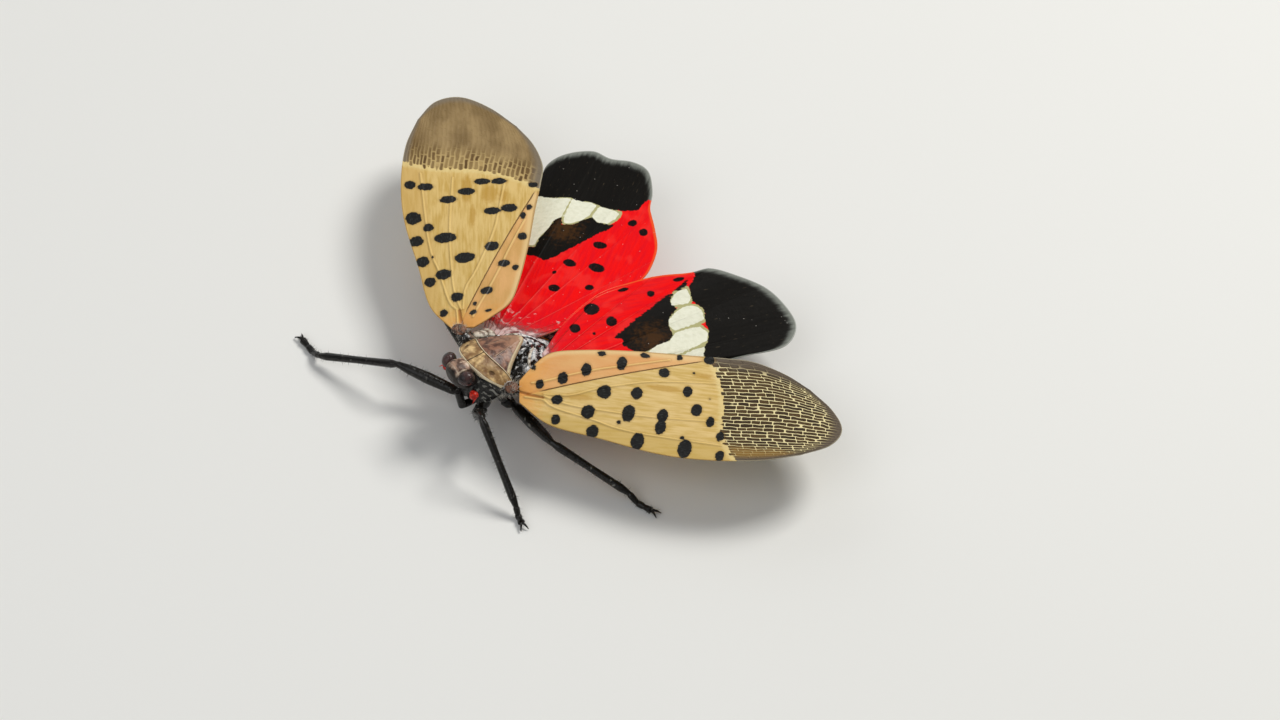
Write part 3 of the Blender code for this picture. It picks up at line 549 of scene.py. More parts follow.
# The hindwings: thin, pleated like a fan, scarlet at the base with black spots, then a black wedge, a
# white band and a black tip with a clear grey fringe. They lie level below the forewings.
HINDWING_ROOT = (2.0, 1.6)
HINDWING_ROOT_EDGE = [(0.15, -1.25), (0.2, 0.5)]
HINDWING_THICKNESS = 0.09
HINDWING_VEINS = (0.05, 0.15, 0.25, 0.35, 0.45, 0.55, 0.65, 0.75, 0.85, 0.95)
HINDWING_EDGES = {
    "left": [
        (1.6, -0.8), (5.0, -1.7), (9.0, -2.0), (13.1, -1.75), (15.9, -1.75), (17.3, -1.4), (18.1, -0.4),
            (18.0, 1.0),
        (17.25, 2.6), (15.65, 4.15), (14.0, 5.1), (12.6, 5.15), (10.5, 5.35), (7.0, 5.15), (4.0, 3.85),
            (1.5, 1.65),
    ],
    "right": [
        (1.6, -0.9), (5.0, -2.0), (9.0, -2.5), (14.2, -2.4), (16.2, -2.45), (17.6, -1.6), (18.3, 0.0),
            (18.05, 1.4),
        (18.25, 2.9), (17.7, 4.25), (16.1, 5.15), (14.5, 5.55), (12.9, 6.45), (11.3, 7.2), (9.5, 7.4),
            (8.1, 7.1),
        (5.0, 6.0), (1.4, 2.4),
    ],
}
HINDWING_POSES = {
    "left": {"sweep": 72.0, "height": 3.95, "rise": -0.03, "tilt": 0.2},
    "right": {"sweep": 54.8, "height": 3.44, "rise": 0.025, "tilt": 0.03},
}
HINDWING_BLACK = {
    "left": [
        (20, 6.5), (12.9, 6.5), (12.75, 4.8), (12.13, 4.12), (12.05, 3.4), (12.05, 2.83), (12.5, 2.39),
            (12.48, 1.94),
        (12.38, 1.32), (12.38, 0.6), (12.1, -0.06), (11.78, -0.5), (11.5, -1.1), (11.6, -3.0), (20, -3.0),
    ],
    "right": [
        (20, -3.5), (13.2, -3.5), (13.27, -1.89), (13.47, -1.01), (13.75, 0.0), (13.7, 0.94), (13.88, 1.58),
        (13.72, 2.12), (13.6, 2.8), (13.6, 3.3), (13.83, 4.11), (14.1, 4.73), (15.2, 5.1), (15.6, 7.0),
            (20, 7.0),
    ],
}
HINDWING_WHITE = {
    "left": [
        [(11.9, 4.05), (12.0, 3.3), (11.7, 2.93), (10.6, 3.01), (10.62, 3.4), (11.12, 3.85)],
        [(12.1, 2.6), (12.4, 2.2), (12.35, 1.5), (11.7, 1.33), (10.2, 1.1), (9.95, 1.5), (10.06, 1.98),
            (10.75, 2.5), (11.5, 2.78)],
        [(11.9, 1.06), (12.3, 0.5), (12.05, -0.1), (11.14, -0.37), (9.9, -0.65), (7.9, -0.1), (8.72, 0.32),
            (9.69, 0.5),
         (10.16, 0.95), (11.0, 1.08)],
        [(11.8, -0.52), (11.5, -1.1), (11.5, -2.6), (7.4, -2.6), (7.7, -0.3), (10.0, -0.8), (10.95, -0.55)],
    ],
    "right": [
        [(13.35, -3.2), (13.4, -1.2), (13.75, 0.12), (12.85, 0.16), (11.95, 0.14), (11.5, -0.26),
            (10.7, -0.34), (9.66, -0.65),
         (9.0, -0.7), (8.9, -1.2), (9.6, -3.2)],
        [(13.78, 0.28), (13.72, 0.94), (13.85, 1.6), (13.7, 2.0), (12.7, 1.88), (12.1, 1.5), (11.6, 0.9),
            (11.5, 0.5), (12.0, 0.3)],
        [(13.65, 2.22), (13.6, 3.0), (13.45, 3.75), (12.9, 3.65), (12.3, 3.3), (12.2, 2.6), (12.64, 2.08)],
    ],
}
HINDWING_WEDGE = {
    "left": [
        (12.2, 4.7), (11.39, 4.2), (10.7, 3.82), (9.95, 3.57), (8.83, 2.95), (8.04, 2.58), (7.22, 2.12),
            (6.13, 1.53),
        (6.64, 1.3), (6.6, 0.84), (6.9, 0.5), (7.4, -0.1), (8.48, 0.2), (9.6, 0.4), (10.01, 0.82),
            (9.92, 1.62),
        (10.12, 2.1), (10.83, 2.72), (10.56, 3.3), (11.0, 3.95), (12.0, 4.2),
    ],
    "right": [
        (8.5, -2.6), (8.88, -0.6), (9.66, -0.65), (10.89, -0.3), (11.64, -0.2), (11.9, 0.2), (11.35, 0.4),
            (11.5, 0.99), (12.15, 1.6),
        (12.58, 2.05), (12.2, 2.69), (12.27, 3.4), (12.5, 3.8), (11.98, 3.62), (11.31, 3.05), (10.51, 2.5),
            (9.46, 1.7),
        (8.41, 0.9), (7.9, 0.46), (8.1, -0.3), (7.7, -2.6),
    ],
}
HINDWING_STAIN = {"left": (8.6, 0.9), "right": (11.0, 0.75)}
HINDWING_SPOTS = {
    "left": [
        (5.36, 3.92, 1.05, 0.8), (6.37, 2.73, 0.72, 0.76), (3.88, 2.77, 0.72, 0.64), (9.51, 4.2, 0.5, 0.48),
        (11.62, 4.83, 0.72, 0.36), (7.83, 4.89, 0.7, 0.3), (11.35, 4.05, 0.5, 0.16),
            (4.99, 2.12, 0.2, 0.24),
    ],
    "right": [
        (12.87, 4.87, 0.6, 0.62), (12.31, 5.85, 0.62, 0.6), (10.35, 3.48, 0.62, 0.95),
            (8.2, 2.11, 0.6, 0.9),
        (8.35, 3.98, 0.7, 1.1), (7.09, 1.44, 0.3, 0.28), (5.79, 1.92, 0.6, 0.8), (6.55, 4.11, 0.5, 0.6),
    ],
}


def outline_distance(flat, corners):
    """How far each point is outside a closed outline, below 0 inside it: the distance to the nearest side,
    signed by how many sides a line to the right crosses."""
    start = np.asarray(corners, float)
    end = np.roll(start, -1, axis=0)
    nearest = line_distance(flat, np.vstack([start, start[:1]]))
    inside = np.zeros(flat.shape[:2], bool)
    for a, b in zip(start, end):
        crosses = (a[1] > flat[..., 1]) != (b[1] > flat[..., 1])
        level = a[0] + (flat[..., 1] - a[1]) * (b[0] - a[0]) / (b[1] - a[1] if b[1] != a[1] else 1.0)
        inside ^= crosses & (flat[..., 0] < level)
    return np.where(inside, -nearest, nearest)


def hindwing_point(flat, lift, side):
    """Where a point of the hindwing lies: a level sheet, tilted a little about its root and swept back."""
    pose = HINDWING_POSES[side]
    height = pose["height"] + pose["rise"] * flat[..., 0] + pose["tilt"] * flat[..., 1] + lift
    points = turn(np.dstack([flat, height]), 2, pose["sweep"]) + (*HINDWING_ROOT, 0.0)
    return points * (1 if side == "left" else -1, 1, 1)


hindwing_finish = Finish("hindwing", Specular_IOR_Level=0.09)
place, marks, more = (hindwing_finish.field(name) for name in ("place", "marks", "more"))
u, v, edge = (place.part(i) for i in range(3))
black, white, wedge = (marks.part(i) for i in range(3))
spot, stain, vein = (more.part(i) for i in range(3))
fuzz = place.noise(3.0, 4.0) - 0.5
radial = place.stretch(0.5, 3.5, 0.0).noise(1.2, 3.0)
red = radial.rise(0.35, 0.7).blend((252, 6, 8), (236, 4, 22))
red = red.painted(
    ((u + fuzz * 2).fall(0.5, 5.0) * 0.7, (216, 20, 44)),
    (place.noise(0.5, 2.0).rise(0.52, 0.66) * 0.35, (255, 62, 54)),
    ((vein + fuzz * 0.05).fall(0.02, 0.07) * 0.45, (255, 96, 88)),
    ((edge + fuzz * 0.1).fall(0.08, 0.3) * u.rise(7.0, 8.5) * 0.8, (244, 100, 44)),
)
pale = edge.fall(0.03, 0.08) * u.fall(6.0, 9.0)
red = ((abs(edge - 0.42) + fuzz * 0.04).fall(0.02, 0.06) * u.fall(6.0, 9.0) * 0.6 + pale).blend(red,
    (255, 150, 110))
ink = radial.blend((5, 4, 3), (20, 17, 12))
ink = ((stain + fuzz * 3.0 + (radial - 0.5) * 2.0).fall(0.0, 1.7) * 0.6).blend(ink, (84, 52, 18))
fringe = (edge + (radial - 0.5) * 0.5 + fuzz * 0.2).fall(0.08, 0.8) * u.rise(11.0, 13.5)
tip = (fringe * fringe * 0.85).blend(ink, (142, 146, 138))
tip = tip.painted(
    (edge.fall(0.03, 0.09) * 0.55, (206, 208, 200)),
    (place.stretch(0.6, 4.0, 0.0).noise(2.6, 3.0).rise(0.66, 0.74) * 0.3, (120, 104, 80)),
)
paper = (fuzz + 0.5).rise(0.3, 0.8).blend((243, 243, 222), (230, 230, 206))
cord = (184, 180, 128)
skin = (white + fuzz * 0.2).fall(0.15, 0.22).blend(red, cord)
skin = skin.painted(
    ((wedge + fuzz * 0.35).fall(-0.04, 0.04), ink),
    ((white + fuzz * 0.16).fall(-0.03, 0.03), paper),
    ((black + fuzz * 0.35).fall(-0.03, 0.03), tip),
    ((spot + fuzz * 0.14).fall(-0.03, 0.05), fuzz.rise(0.0, 0.3).blend((18, 8, 8), (60, 20, 16))),
)
root = place.noise(2.2, 5.0) * 0.8 + place.noise(0.7, 2.0) * 0.6
skin = ((u + fuzz * 1.6).fall(1.2, 2.6) * 0.85).blend(skin, (112, 100, 96))
powder = (root - u * 0.13).rise(0.42, 0.6)
skin = (powder * 0.85).blend(skin, place.noise(6.0, 2.0).blend((236, 190, 186), (250, 240, 236)))
dust = place.cells(1.4).fall(0.035, 0.06) * 0.6
skin = dust.blend(skin, (205, 200, 190))
hindwing_finish.drive("Base Color", skin)
hindwing_finish.drive("Roughness", 0.55 + powder * 0.2 - fuzz * 0.2)
crease = radial * 0.7 + vein.fall(0.0, 0.12) * 0.7 + place.noise(6.0, 2.0) * 0.15 + powder * 0.5
hindwing_finish.drive("Normal", crease.bump(0.05))


def hindwing(side, rows=190, columns=200):
    """The hindwing's skin: rows go from its root to its outer edge, with fan pleats that deepen outwards."""
    shares = np.linspace(0, 1, columns)
    edge = curve_through(HINDWING_EDGES[side], shares)
    root = np.array(HINDWING_ROOT_EDGE[0]) * (1 - shares[:,
        None]) + np.array(HINDWING_ROOT_EDGE[1]) * shares[:, None]
    out = np.linspace(0, 1, rows)[:, None, None]
    flat = root[None] + out * (edge - root)[None]
    step = np.linalg.norm(np.gradient(flat, axis=1), axis=-1) * (columns - 1)
    margin = np.minimum(np.minimum(shares, 1 - shares)[None, :] * step,
        (1 - out[..., 0]) * np.linalg.norm(edge - root, axis=1))
    vein = np.min([np.abs(shares - place)[None, :] * step for place in HINDWING_VEINS], axis=0)
    white = np.min([outline_distance(flat, cell) for cell in HINDWING_WHITE[side]], axis=0)
    stain = np.linalg.norm(flat - HINDWING_STAIN[side], axis=-1)
    fields = {
        "place": np.dstack([flat, margin]),
        "marks": np.dstack([outline_distance(flat, HINDWING_BLACK[side]), white,
            outline_distance(flat, HINDWING_WEDGE[side])]),
        "more": np.dstack([spot_distance(flat, HINDWING_SPOTS[side]), stain, vein]),
    }
    pleats = np.cos(2 * math.pi * (shares - 0.05) * 10)[None, :] * out[..., 0]
    lift = 0.045 * pleats + 0.03 * np.exp(-((vein / 0.08) ** 2))
    top = hindwing_point(flat, lift, side)
    bottom = hindwing_point(flat, lift - HINDWING_THICKNESS, side)
    made = sheet(f"hindwing_{side}_skin", top, bottom, hindwing_finish, fields)
    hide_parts(f"hindwing_{side}")


for side in ("left", "right"):
    hindwing(side)


# The trunk: one glossy black skin over the middle and rear of the thorax, with the lobes that carry the
# wings and the bases of the legs. Silvery wax lies in its hollows, and soft white hair on its sides.
THORAX_STATIONS = [
    (-1.15, 1.35, 4.5, 2.4, 3.5), (-0.6, 1.85, 4.3, 2.35, 3.5), (0.0, 2.05, 4.35, 2.25, 3.5),
        (0.35, 2.1, 4.45, 2.2, 3.5),
    (0.85, 2.05, 4.6, 2.2, 3.5), (1.5, 1.95, 4.8, 2.2, 3.4), (2.4, 1.75, 4.85, 2.2, 3.3),
        (3.1, 1.35, 4.6, 2.1, 3.1),
    (3.8, 0.85, 4.1, 2.2, 3.1), (4.6, 0.4, 3.5, 2.6, 3.0),
]
THORAX_FULLNESS = 0.78
SHOULDER_START = (1.7, -0.1, 3.7)
SHOULDER_FROM_ROOT = (-0.6, -0.3, 0.3)
COLLAR_BOW = 0.18
TRUNK_GRAIN = 0.055
TRUNK_ROUNDS = 6
SHOULDER_RADII = (0.6, 0.42)
FOLD_STEP = 0.5
FOLD_SLANT = 0.8
FOLD_WOBBLE = 1.3
FOLD_HEIGHT = 0.05
WING_LOBES = [
    ((1.5, 0.3, 3.75), (3.35, 0.25, 4.35), 0.55, 0.3), ((1.4, 0.9, 3.75), (3.0, 1.0, 4.3), 0.5, 0.25),
    ((0.9, 1.9, 3.8), (2.35, 1.75, 3.8), 0.5, 0.26), ((0.7, 2.6, 3.75), (1.9, 2.35, 3.72), 0.42, 0.24),
]
LEG_BASES = [
    ((0.9, -1.2, 2.9), (0.95, -1.45, 1.95), 0.6, 0.42), ((0.95, 0.1, 2.7), (1.1, 0.25, 1.7), 0.62, 0.44),
    ((0.75, 2.0, 2.7), (0.9, 2.3, 1.7), 0.6, 0.42),
]


def tube(rings):
    """Points and faces of a closed tube through rings of points, with a fan over each end."""
    rings = np.asarray(rings, float)
    count, sides = rings.shape[:2]
    points = np.vstack([rings.reshape(-1, 3), rings[0].mean(axis=0), rings[-1].mean(axis=0)])
    here = np.arange(sides)
    after = (here + 1) % sides
    last = (count - 1) * sides
    ends = np.vstack([np.stack([after, here, np.full(sides, count * sides)], axis=-1),
                      np.stack([last + here, last + after, np.full(sides, count * sides + 1)], axis=-1)])
    return points, [quads_of(count, sides, closed=True), ends]


def body_rings(stations, bows, sides=64, fullness=0.9, along=None):
    """Rings across the body: ovals with their own halves above and below the widest line, whose sides bow
    to the rear as the square of their distance from the middle. Between stations the sizes follow a curve."""
    stations = np.asarray(stations, float)
    if along is not None:
        stations = curve_through(stations, along)
        bows = np.interp(along, np.linspace(0, 1, len(bows)), bows)
    y, half_width, top, bottom, middle = stations.T[..., None]
    angles = ((np.arange(sides) + 0.5) * 2 * math.pi / sides)[None, :]
    cos, sin = np.cos(angles), np.sin(angles)
    x = half_width * np.sign(cos) * np.abs(cos) ** fullness
    z = middle + np.where(sin > 0, top - middle, middle - bottom) * np.sign(sin) * np.abs(sin) ** fullness
    return np.stack([x, y + np.asarray(bows)[:, None] * x**2, z], axis=-1)


def limb_rings(start, end, radii, sides=24):
    """Rings about a straight line, with the radii that are given at even steps along it."""
    start, end, radii = np.asarray(start, float), np.asarray(end, float), np.asarray(radii, float)
    way = (end - start) / np.linalg.norm(end - start)
    side = np.cross(way, (0.0, 0.0, 1.0) if abs(way[2]) < 0.9 else (0.0, 1.0, 0.0))
    side = side / np.linalg.norm(side)
    up = np.cross(side, way)
    angles = np.arange(sides) * 2 * math.pi / sides
    ring = np.cos(angles)[:, None] * side + np.sin(angles)[:, None] * up
    shares = np.linspace(0, 1, len(radii))[:, None, None]
    return start + (end - start) * shares + ring[None] * radii[:, None, None]


def capsule(start, end, start_radius, end_radius, steps=17):
    """A blunt lobe: its radius runs evenly from one end to the other, and closes there as a sphere does."""
    shares = np.linspace(0, 1, steps)
    radii = start_radius + (end_radius - start_radius) * shares
    radii = radii * np.sqrt(np.clip(1 - np.abs(2 * shares - 1) ** 5, 0.001, 1))
    return tube(limb_rings(start, end, radii))


def joined(forms):
    """Several closed forms as one set of points and faces, each turned to face outwards first."""
    points, faces, size = [], [], 0
    for form_points, form_faces in forms:
        points.append(form_points)
        faces += [rows + size for rows in outward(form_points, form_faces)]
        size += len(form_points)
    return np.vstack(points), faces


def path_rings(path, radii, sides):
    """Rings square to a path. Its way at each point is the step between the neighbours."""
    way = np.gradient(path, axis=0)
    way = way / np.linalg.norm(way, axis=1, keepdims=True)
    side = np.cross(way, (0.0, 0.0, 1.0))
    side = side / np.linalg.norm(side, axis=1, keepdims=True)
    up = np.cross(side, way)
    angles = (np.arange(sides) * 2 * math.pi / sides)[None, :, None]
    return path[:, None] + (np.cos(angles) * side[:, None] + np.sin(angles) * up[:, None]) * radii[:, None,
        None]


def ellipsoid(centre, size, degrees, sides=48, bands=31):
    """An ellipsoid turned about the upright line through its centre, with a point at each pole."""
    polar = np.linspace(0, math.pi, bands + 2)[1:-1][:, None]
    around = np.linspace(0, 2 * math.pi, sides, endpoint=False)[None, :]
    rings = np.stack([np.sin(polar) * np.cos(around), np.sin(polar) * np.sin(around),
        np.cos(polar) + 0 * around], axis=-1)
    points, faces = tube(rings * size)
    points[-2:] = [(0, 0, size[2]), (0, 0, -size[2])]
    return turn(points, 2, degrees) + centre, faces


def points_of(made):
    """A piece's points, in millimetres, and the way the surface faces at each."""
    count = len(made.data.vertices) * 3
    points, normals = np.empty(count, np.float32), np.empty(count, np.float32)
    made.data.vertices.foreach_get("co", points)
    made.data.vertex_normals.foreach_get("vector", normals)
    return points.reshape(-1, 3).astype(float) / MM, normals.reshape(-1, 3).astype(float)


def fur(name, carriers, pick, count, length, thickness, lean, finish, slot):
    """Hairs as thin three-sided cones, on points of the carriers that the pick allows. Each runs along the
    surface's normal plus a lean and a little seeded scatter, and is half to once the given length."""
    random = np.random.default_rng(len(name))
    found = [points_of(carrier) for carrier in carriers]
    points, normals = np.vstack([pair[0] for pair in found]), np.vstack([pair[1] for pair in found])
    chosen = random.choice(np.flatnonzero(pick(points, normals)), count)
    way = normals[chosen] + lean + random.normal(0, 0.25, (count, 3))
    way = way / np.linalg.norm(way, axis=1, keepdims=True)
    side = np.cross(way, (0.36, 0.48, 0.8))
    side = side / np.linalg.norm(side, axis=1, keepdims=True)
    angles = (np.arange(3) * 2 * math.pi / 3)[None, :, None]
    root = points[chosen] - way * thickness
    ring = root[:, None] + thickness * (np.cos(angles) * side[:, None] + np.sin(angles) * np.cross(side,
        way)[:, None])
    tip = root + way * length * random.uniform(0.5, 1.0, (count, 1))
    tip[:, 2] = np.maximum(tip[:, 2], 0.03)
    corner = np.arange(count)[:, None] * 4
    faces = np.vstack([corner + order for order in ([0, 1, 3], [1, 2, 3], [2, 0, 3], [2, 1, 0])])
    made = surface(name, np.concatenate([ring, tip[:, None]], axis=1).reshape(-1, 3), [faces], finish)


def grown(made, grain, rounds):
    """Melts the overlapping forms of a piece into one skin: a voxel remesh, then smoothing, both applied."""
    remesh = made.modifiers.new("skin", "REMESH")
    remesh.mode = "VOXEL"
    remesh.voxel_size = grain * MM
    smooth = made.modifiers.new("soft", "SMOOTH")
    smooth.iterations = rounds
    graph = bpy.context.evaluated_depsgraph_get()
    melted = bpy.data.meshes.new_from_object(made.evaluated_get(graph))
    made.modifiers.clear()
    made.data = melted
    melted.shade_smooth()


def black_finish(name):
    """Glossy black shell, with fine wrinkles and a little silvery wax where noise gathers it."""
    finish = Finish(name, Specular_IOR_Level=0.35)
    place = finish.place()
    dust = place.noise(2.2, 4.0)
    wax = dust.rise(0.62, 0.76)
    shell = place.noise(1.2).blend((9, 8, 6), (28, 24, 18))
    finish.drive("Base Color", (wax * 0.55).blend(shell, (170, 168, 158)))
    finish.drive("Roughness", 0.16 + wax * 0.5 + dust * 0.1)
    finish.drive("Normal", (place.noise(7.0, 3.0) + wax * 0.5).bump(0.04))
    return finish


trunk_finish = Finish("trunk", Specular_IOR_Level=0.4)
place = trunk_finish.place()
x, y, z = (place.part(i) for i in range(3))
fold = place.stretch(1.3, 0.8, 0.6).noise(1.9, 2.6)
upper = z.rise(3.5, 3.9)
behind = (y + (fold - 0.5) * 0.8).rise(1.2, 1.8)
crest = ((y + abs(x) * FOLD_SLANT) * (2 * math.pi / FOLD_STEP) + (x * 2.1).wave() * FOLD_WOBBLE).wave()
silver = (crest * 0.04 + fold).rise(0.45, 0.53) * upper * behind
wax = silver.most(fold.rise(0.58, 0.7) * z.rise(2.6, 3.6))
shell = place.noise(1.5).blend((8, 7, 6), (32, 28, 22))
side_skin = abs(x).rise(1.9, 2.6) * upper * y.rise(-0.4, 0.2)
shell = (side_skin * fold.rise(0.4, 0.6)).blend(shell, (146, 132, 112))
powder = place.noise(4.0, 3.0).rise(0.35, 0.65).blend((122, 128, 132), (246, 246, 244))
trunk_finish.drive("Base Color", wax.blend(shell, powder))
trunk_finish.drive("Roughness", 0.16 + wax * 0.2)
trunk_finish.drive("Normal", (fold * 1.2 + wax * 0.4 + place.noise(9.0, 2.0) * 0.2).bump(0.12))

bows = np.linspace(COLLAR_BOW, 0.0, len(THORAX_STATIONS))
forms = [tube(body_rings(THORAX_STATIONS, bows, fullness=THORAX_FULLNESS, along=np.linspace(0, 1, 60)))]
for sign in (1, -1):
    for start, end, start_radius, end_radius in WING_LOBES + LEG_BASES:
        mirror = np.array((sign, 1, 1))
        forms.append(capsule(mirror * start, mirror * end, start_radius, end_radius))
    root = FOREWING_POSES["left" if sign > 0 else "right"]["root"]
    shoulder = (np.array(root) + SHOULDER_FROM_ROOT) * (sign, 1, 1)
    forms.append(capsule(mirror * SHOULDER_START, shoulder, *SHOULDER_RADII))
trunk = surface("trunk_skin", *joined(forms), trunk_finish)
grown(trunk, TRUNK_GRAIN, TRUNK_ROUNDS)
points, normals = points_of(trunk)
phase = (points[:, 1] + FOLD_SLANT * np.abs(points[:, 0])) * 2 * math.pi / FOLD_STEP
crest = np.sin(phase + FOLD_WOBBLE * np.sin(2.1 * points[:, 0]))
crest = crest * 0.5 + np.sin(5.1 * points[:, 0] + 3.3 * points[:, 1]) * np.sin(4.7 * points[:,
    1] - 3.9 * points[:, 0] + 1.0)
shown = np.clip((points[:, 2] - 3.5) / 0.4, 0, 1) * np.clip((points[:, 1] - 1.2) / 0.6, 0, 1)
points = points + normals * (FOLD_HEIGHT * crest * shown)[:, None]
trunk.data.vertices.foreach_set("co", (points * MM).ravel().astype(np.float32))
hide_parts("thorax")


# The wing hinges: pale ridges and small plates on the thorax beside the mesonotum, where the stiff
# veins of the wings meet the body. The ridges are thin tubes that follow the thorax, the plates flat ovals.
HINGE_RIDGES = [
    [(-0.68, 3.05), (-1.07, 2.43), (-1.56, 1.87), (-2.25, 1.98)],
        [(-0.47, 2.81), (-1.1, 2.4), (-1.68, 2.05)],
    [(0.55, 2.9), (0.95, 2.35), (1.5, 1.9), (2.1, 1.85)],
]
HINGE_RIDGE_RADIUS = 0.085
HINGE_PLATES = [((-2.55, 0.75, 4.42), (0.52, 0.3, 0.16), 60.0),
    ((-2.5, 1.45, 4.2), (0.5, 0.26, 0.14), 20.0),
                ((2.5, 0.85, 4.3), (0.5, 0.28, 0.15), -50.0),
                    ((2.35, 1.5, 4.15), (0.45, 0.24, 0.13), -20.0)]

hinge_finish = Finish("hinge", Roughness=0.4)
place = hinge_finish.place()
grain = place.noise(3.0, 4.0)
hinge_finish.drive("Base Color", grain.rise(0.36, 0.6).blend((120, 100, 84), (232, 224, 206)))
hinge_finish.drive("Normal", (grain + place.noise(9.0, 2.0) * 0.4).bump(0.05))
y, half_width, top, _, middle = np.array(THORAX_STATIONS).T
forms = [ellipsoid(centre, size, degrees, 32, 17) for centre, size, degrees in HINGE_PLATES]
for line in HINGE_RIDGES:
    path = curve_through(line, np.linspace(0, 1, 40))
    across = np.minimum(np.abs(path[:, 0]) / np.interp(path[:, 1], y, half_width), 0.97)
    rise = (1 - across ** (2 / THORAX_FULLNESS)) ** (THORAX_FULLNESS / 2)
    base = np.interp(path[:, 1], y, middle)
    height = base + (np.interp(path[:, 1], y, top) - base) * rise
    radii = HINGE_RIDGE_RADIUS * (0.25 + np.sin(np.linspace(0, math.pi, 40)) ** 0.5)
    forms.append(tube(path_rings(np.column_stack([path, height]), radii, 16)))
hinges = surface("wing_hinges_skin", *joined(forms), hinge_finish)


# The abdomen: seven overlapping rings, yellow skin between them and black plates over the middle of each,
# dusted with wax. The hindwings lie over it, so little of it shows from above.
ABDOMEN_STATIONS = [
    (3.3, 0.75, 3.55, 2.0, 2.8), (3.75, 1.2, 2.6, 1.5, 2.1), (4.8, 2.1, 2.62, 1.15, 1.9),
        (7.0, 2.4, 2.62, 0.9, 1.75),
    (9.0, 2.1, 2.62, 0.9, 1.75), (10.6, 1.4, 2.5, 1.05, 1.75), (11.6, 0.6, 2.15, 1.35, 1.7),
]
ABDOMEN_RINGS = 7
ABDOMEN_STEP = 0.05

abdomen_finish = Finish("abdomen", Roughness=0.42)
place, ring = abdomen_finish.place(), abdomen_finish.field("ring")
share, around = ring.part(0), ring.part(1)
grain = place.noise(3.0, 4.0)
plate = (share + (grain - 0.5) * 0.2).rise(0.1, 0.2) * (share + (grain - 0.5) * 0.1).fall(0.82, 0.9)
dorsal = (around + (grain - 0.5) * 0.25).fall(0.5,
    0.6).most((around - 0.8 + (grain - 0.5) * 0.2).rise(0.0, 0.06))
skin = grain.blend((222, 160, 28), (244, 196, 66))
skin = skin.painted(
    (plate * dorsal, (26, 22, 18)),
    (place.noise(1.6, 5.0).rise(0.56, 0.7) * 0.8, (214, 212, 200)),
)
abdomen_finish.drive("Base Color", skin)
abdomen_finish.drive("Normal", (grain + place.noise(9.0, 2.0) * 0.4).bump(0.05))

along = np.linspace(0, 1, 141)
rings = body_rings(ABDOMEN_STATIONS, [0.0], sides=72, fullness=0.85, along=along)
share = (along * ABDOMEN_RINGS) % 1.0
centre = rings.mean(axis=1, keepdims=True)
swell = 1 + ((share - 0.55) * ABDOMEN_STEP * (along > 0.1) * (along < 0.99))[:, None, None]
rings = centre + (rings - centre) * swell
points, faces = tube(rings)
around = np.abs((np.arange(72) + 0.5) / 72 - 0.25)
around = np.minimum(around, 1 - around) * 2
fields = np.zeros((len(points), 3))
fields[:-2, 0] = np.repeat(share, 72)
fields[:-2, 1] = np.tile(around, len(along))
abdomen = surface("abdomen_skin", points, faces, abdomen_finish, {"ring": fields})
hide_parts("abdomen")


# The pronotum: a saddle of tan shell over the first segment, with thin raised rims, a dark groove down the
# middle and a pit on either side. Under its edge the segment is black and hairy and carries the forelegs.
COLLAR_FRONT = -2.0
COLLAR_REAR = -0.48
COLLAR_TOP = 5.9
COLLAR_ARCH = 0.235
COLLAR_HALF_WIDTH = 2.35
COLLAR_TAPER = 0.6
COLLAR_BELLY = 2.5
COLLAR_RIM = 0.25

collar_finish = Finish("collar", Specular_IOR_Level=0.3)
place, plate = collar_finish.place(), collar_finish.field("plate")
across, along, top = (plate.part(i) for i in range(3))
grain = place.noise(2.2, 4.0)
shell = grain.rise(0.38, 0.64).blend((146, 112, 70), (228, 194, 138))
shell = (place.noise(1.0, 2.0).rise(0.5, 0.62) * 0.65).blend(shell, (118, 82, 50))
from_pit = (abs(across) - 1.45) * 1.2, (along - 0.42) * 1.8
pit = (from_pit[0] * from_pit[0] + from_pit[1] * from_pit[1]).fall(0.005, 0.05)
shell = (pit * 0.75).blend(shell, (70, 46, 24))
groove = abs(across + (grain - 0.5) * 0.08).fall(0.015, 0.045)
shell = (groove * 0.8).blend(shell, (78, 56, 30))
rim = abs(along - 0.5).rise(0.43, 0.45)
shell = shell.painted(
    (abs(along - 0.5).rise(0.39, 0.43) * (1 - rim) * 0.85, (70, 46, 26)),
    (rim * 0.95, (248, 232, 196)),
)
under = place.noise(1.4).blend((7, 6, 5), (22, 19, 14))
# Pale specks on the black underside: partly wax dust, partly painted glints.
under = (place.stretch(1.0, 1.0, 2.0).noise(2.4, 4.0).rise(0.58, 0.66) * 0.6).blend(under, (186, 184, 174))
collar_finish.drive("Base Color", (top + (grain - 0.5) * 0.1).rise(0.45, 0.55).blend(under, shell))
collar_finish.drive("Roughness", 0.16 + top * 0.24)
collar_finish.drive("Normal", (place.noise(8.0,
    3.0) * 0.5 + grain * 1.4 - pit * 1.4 - groove + rim).bump(0.06))

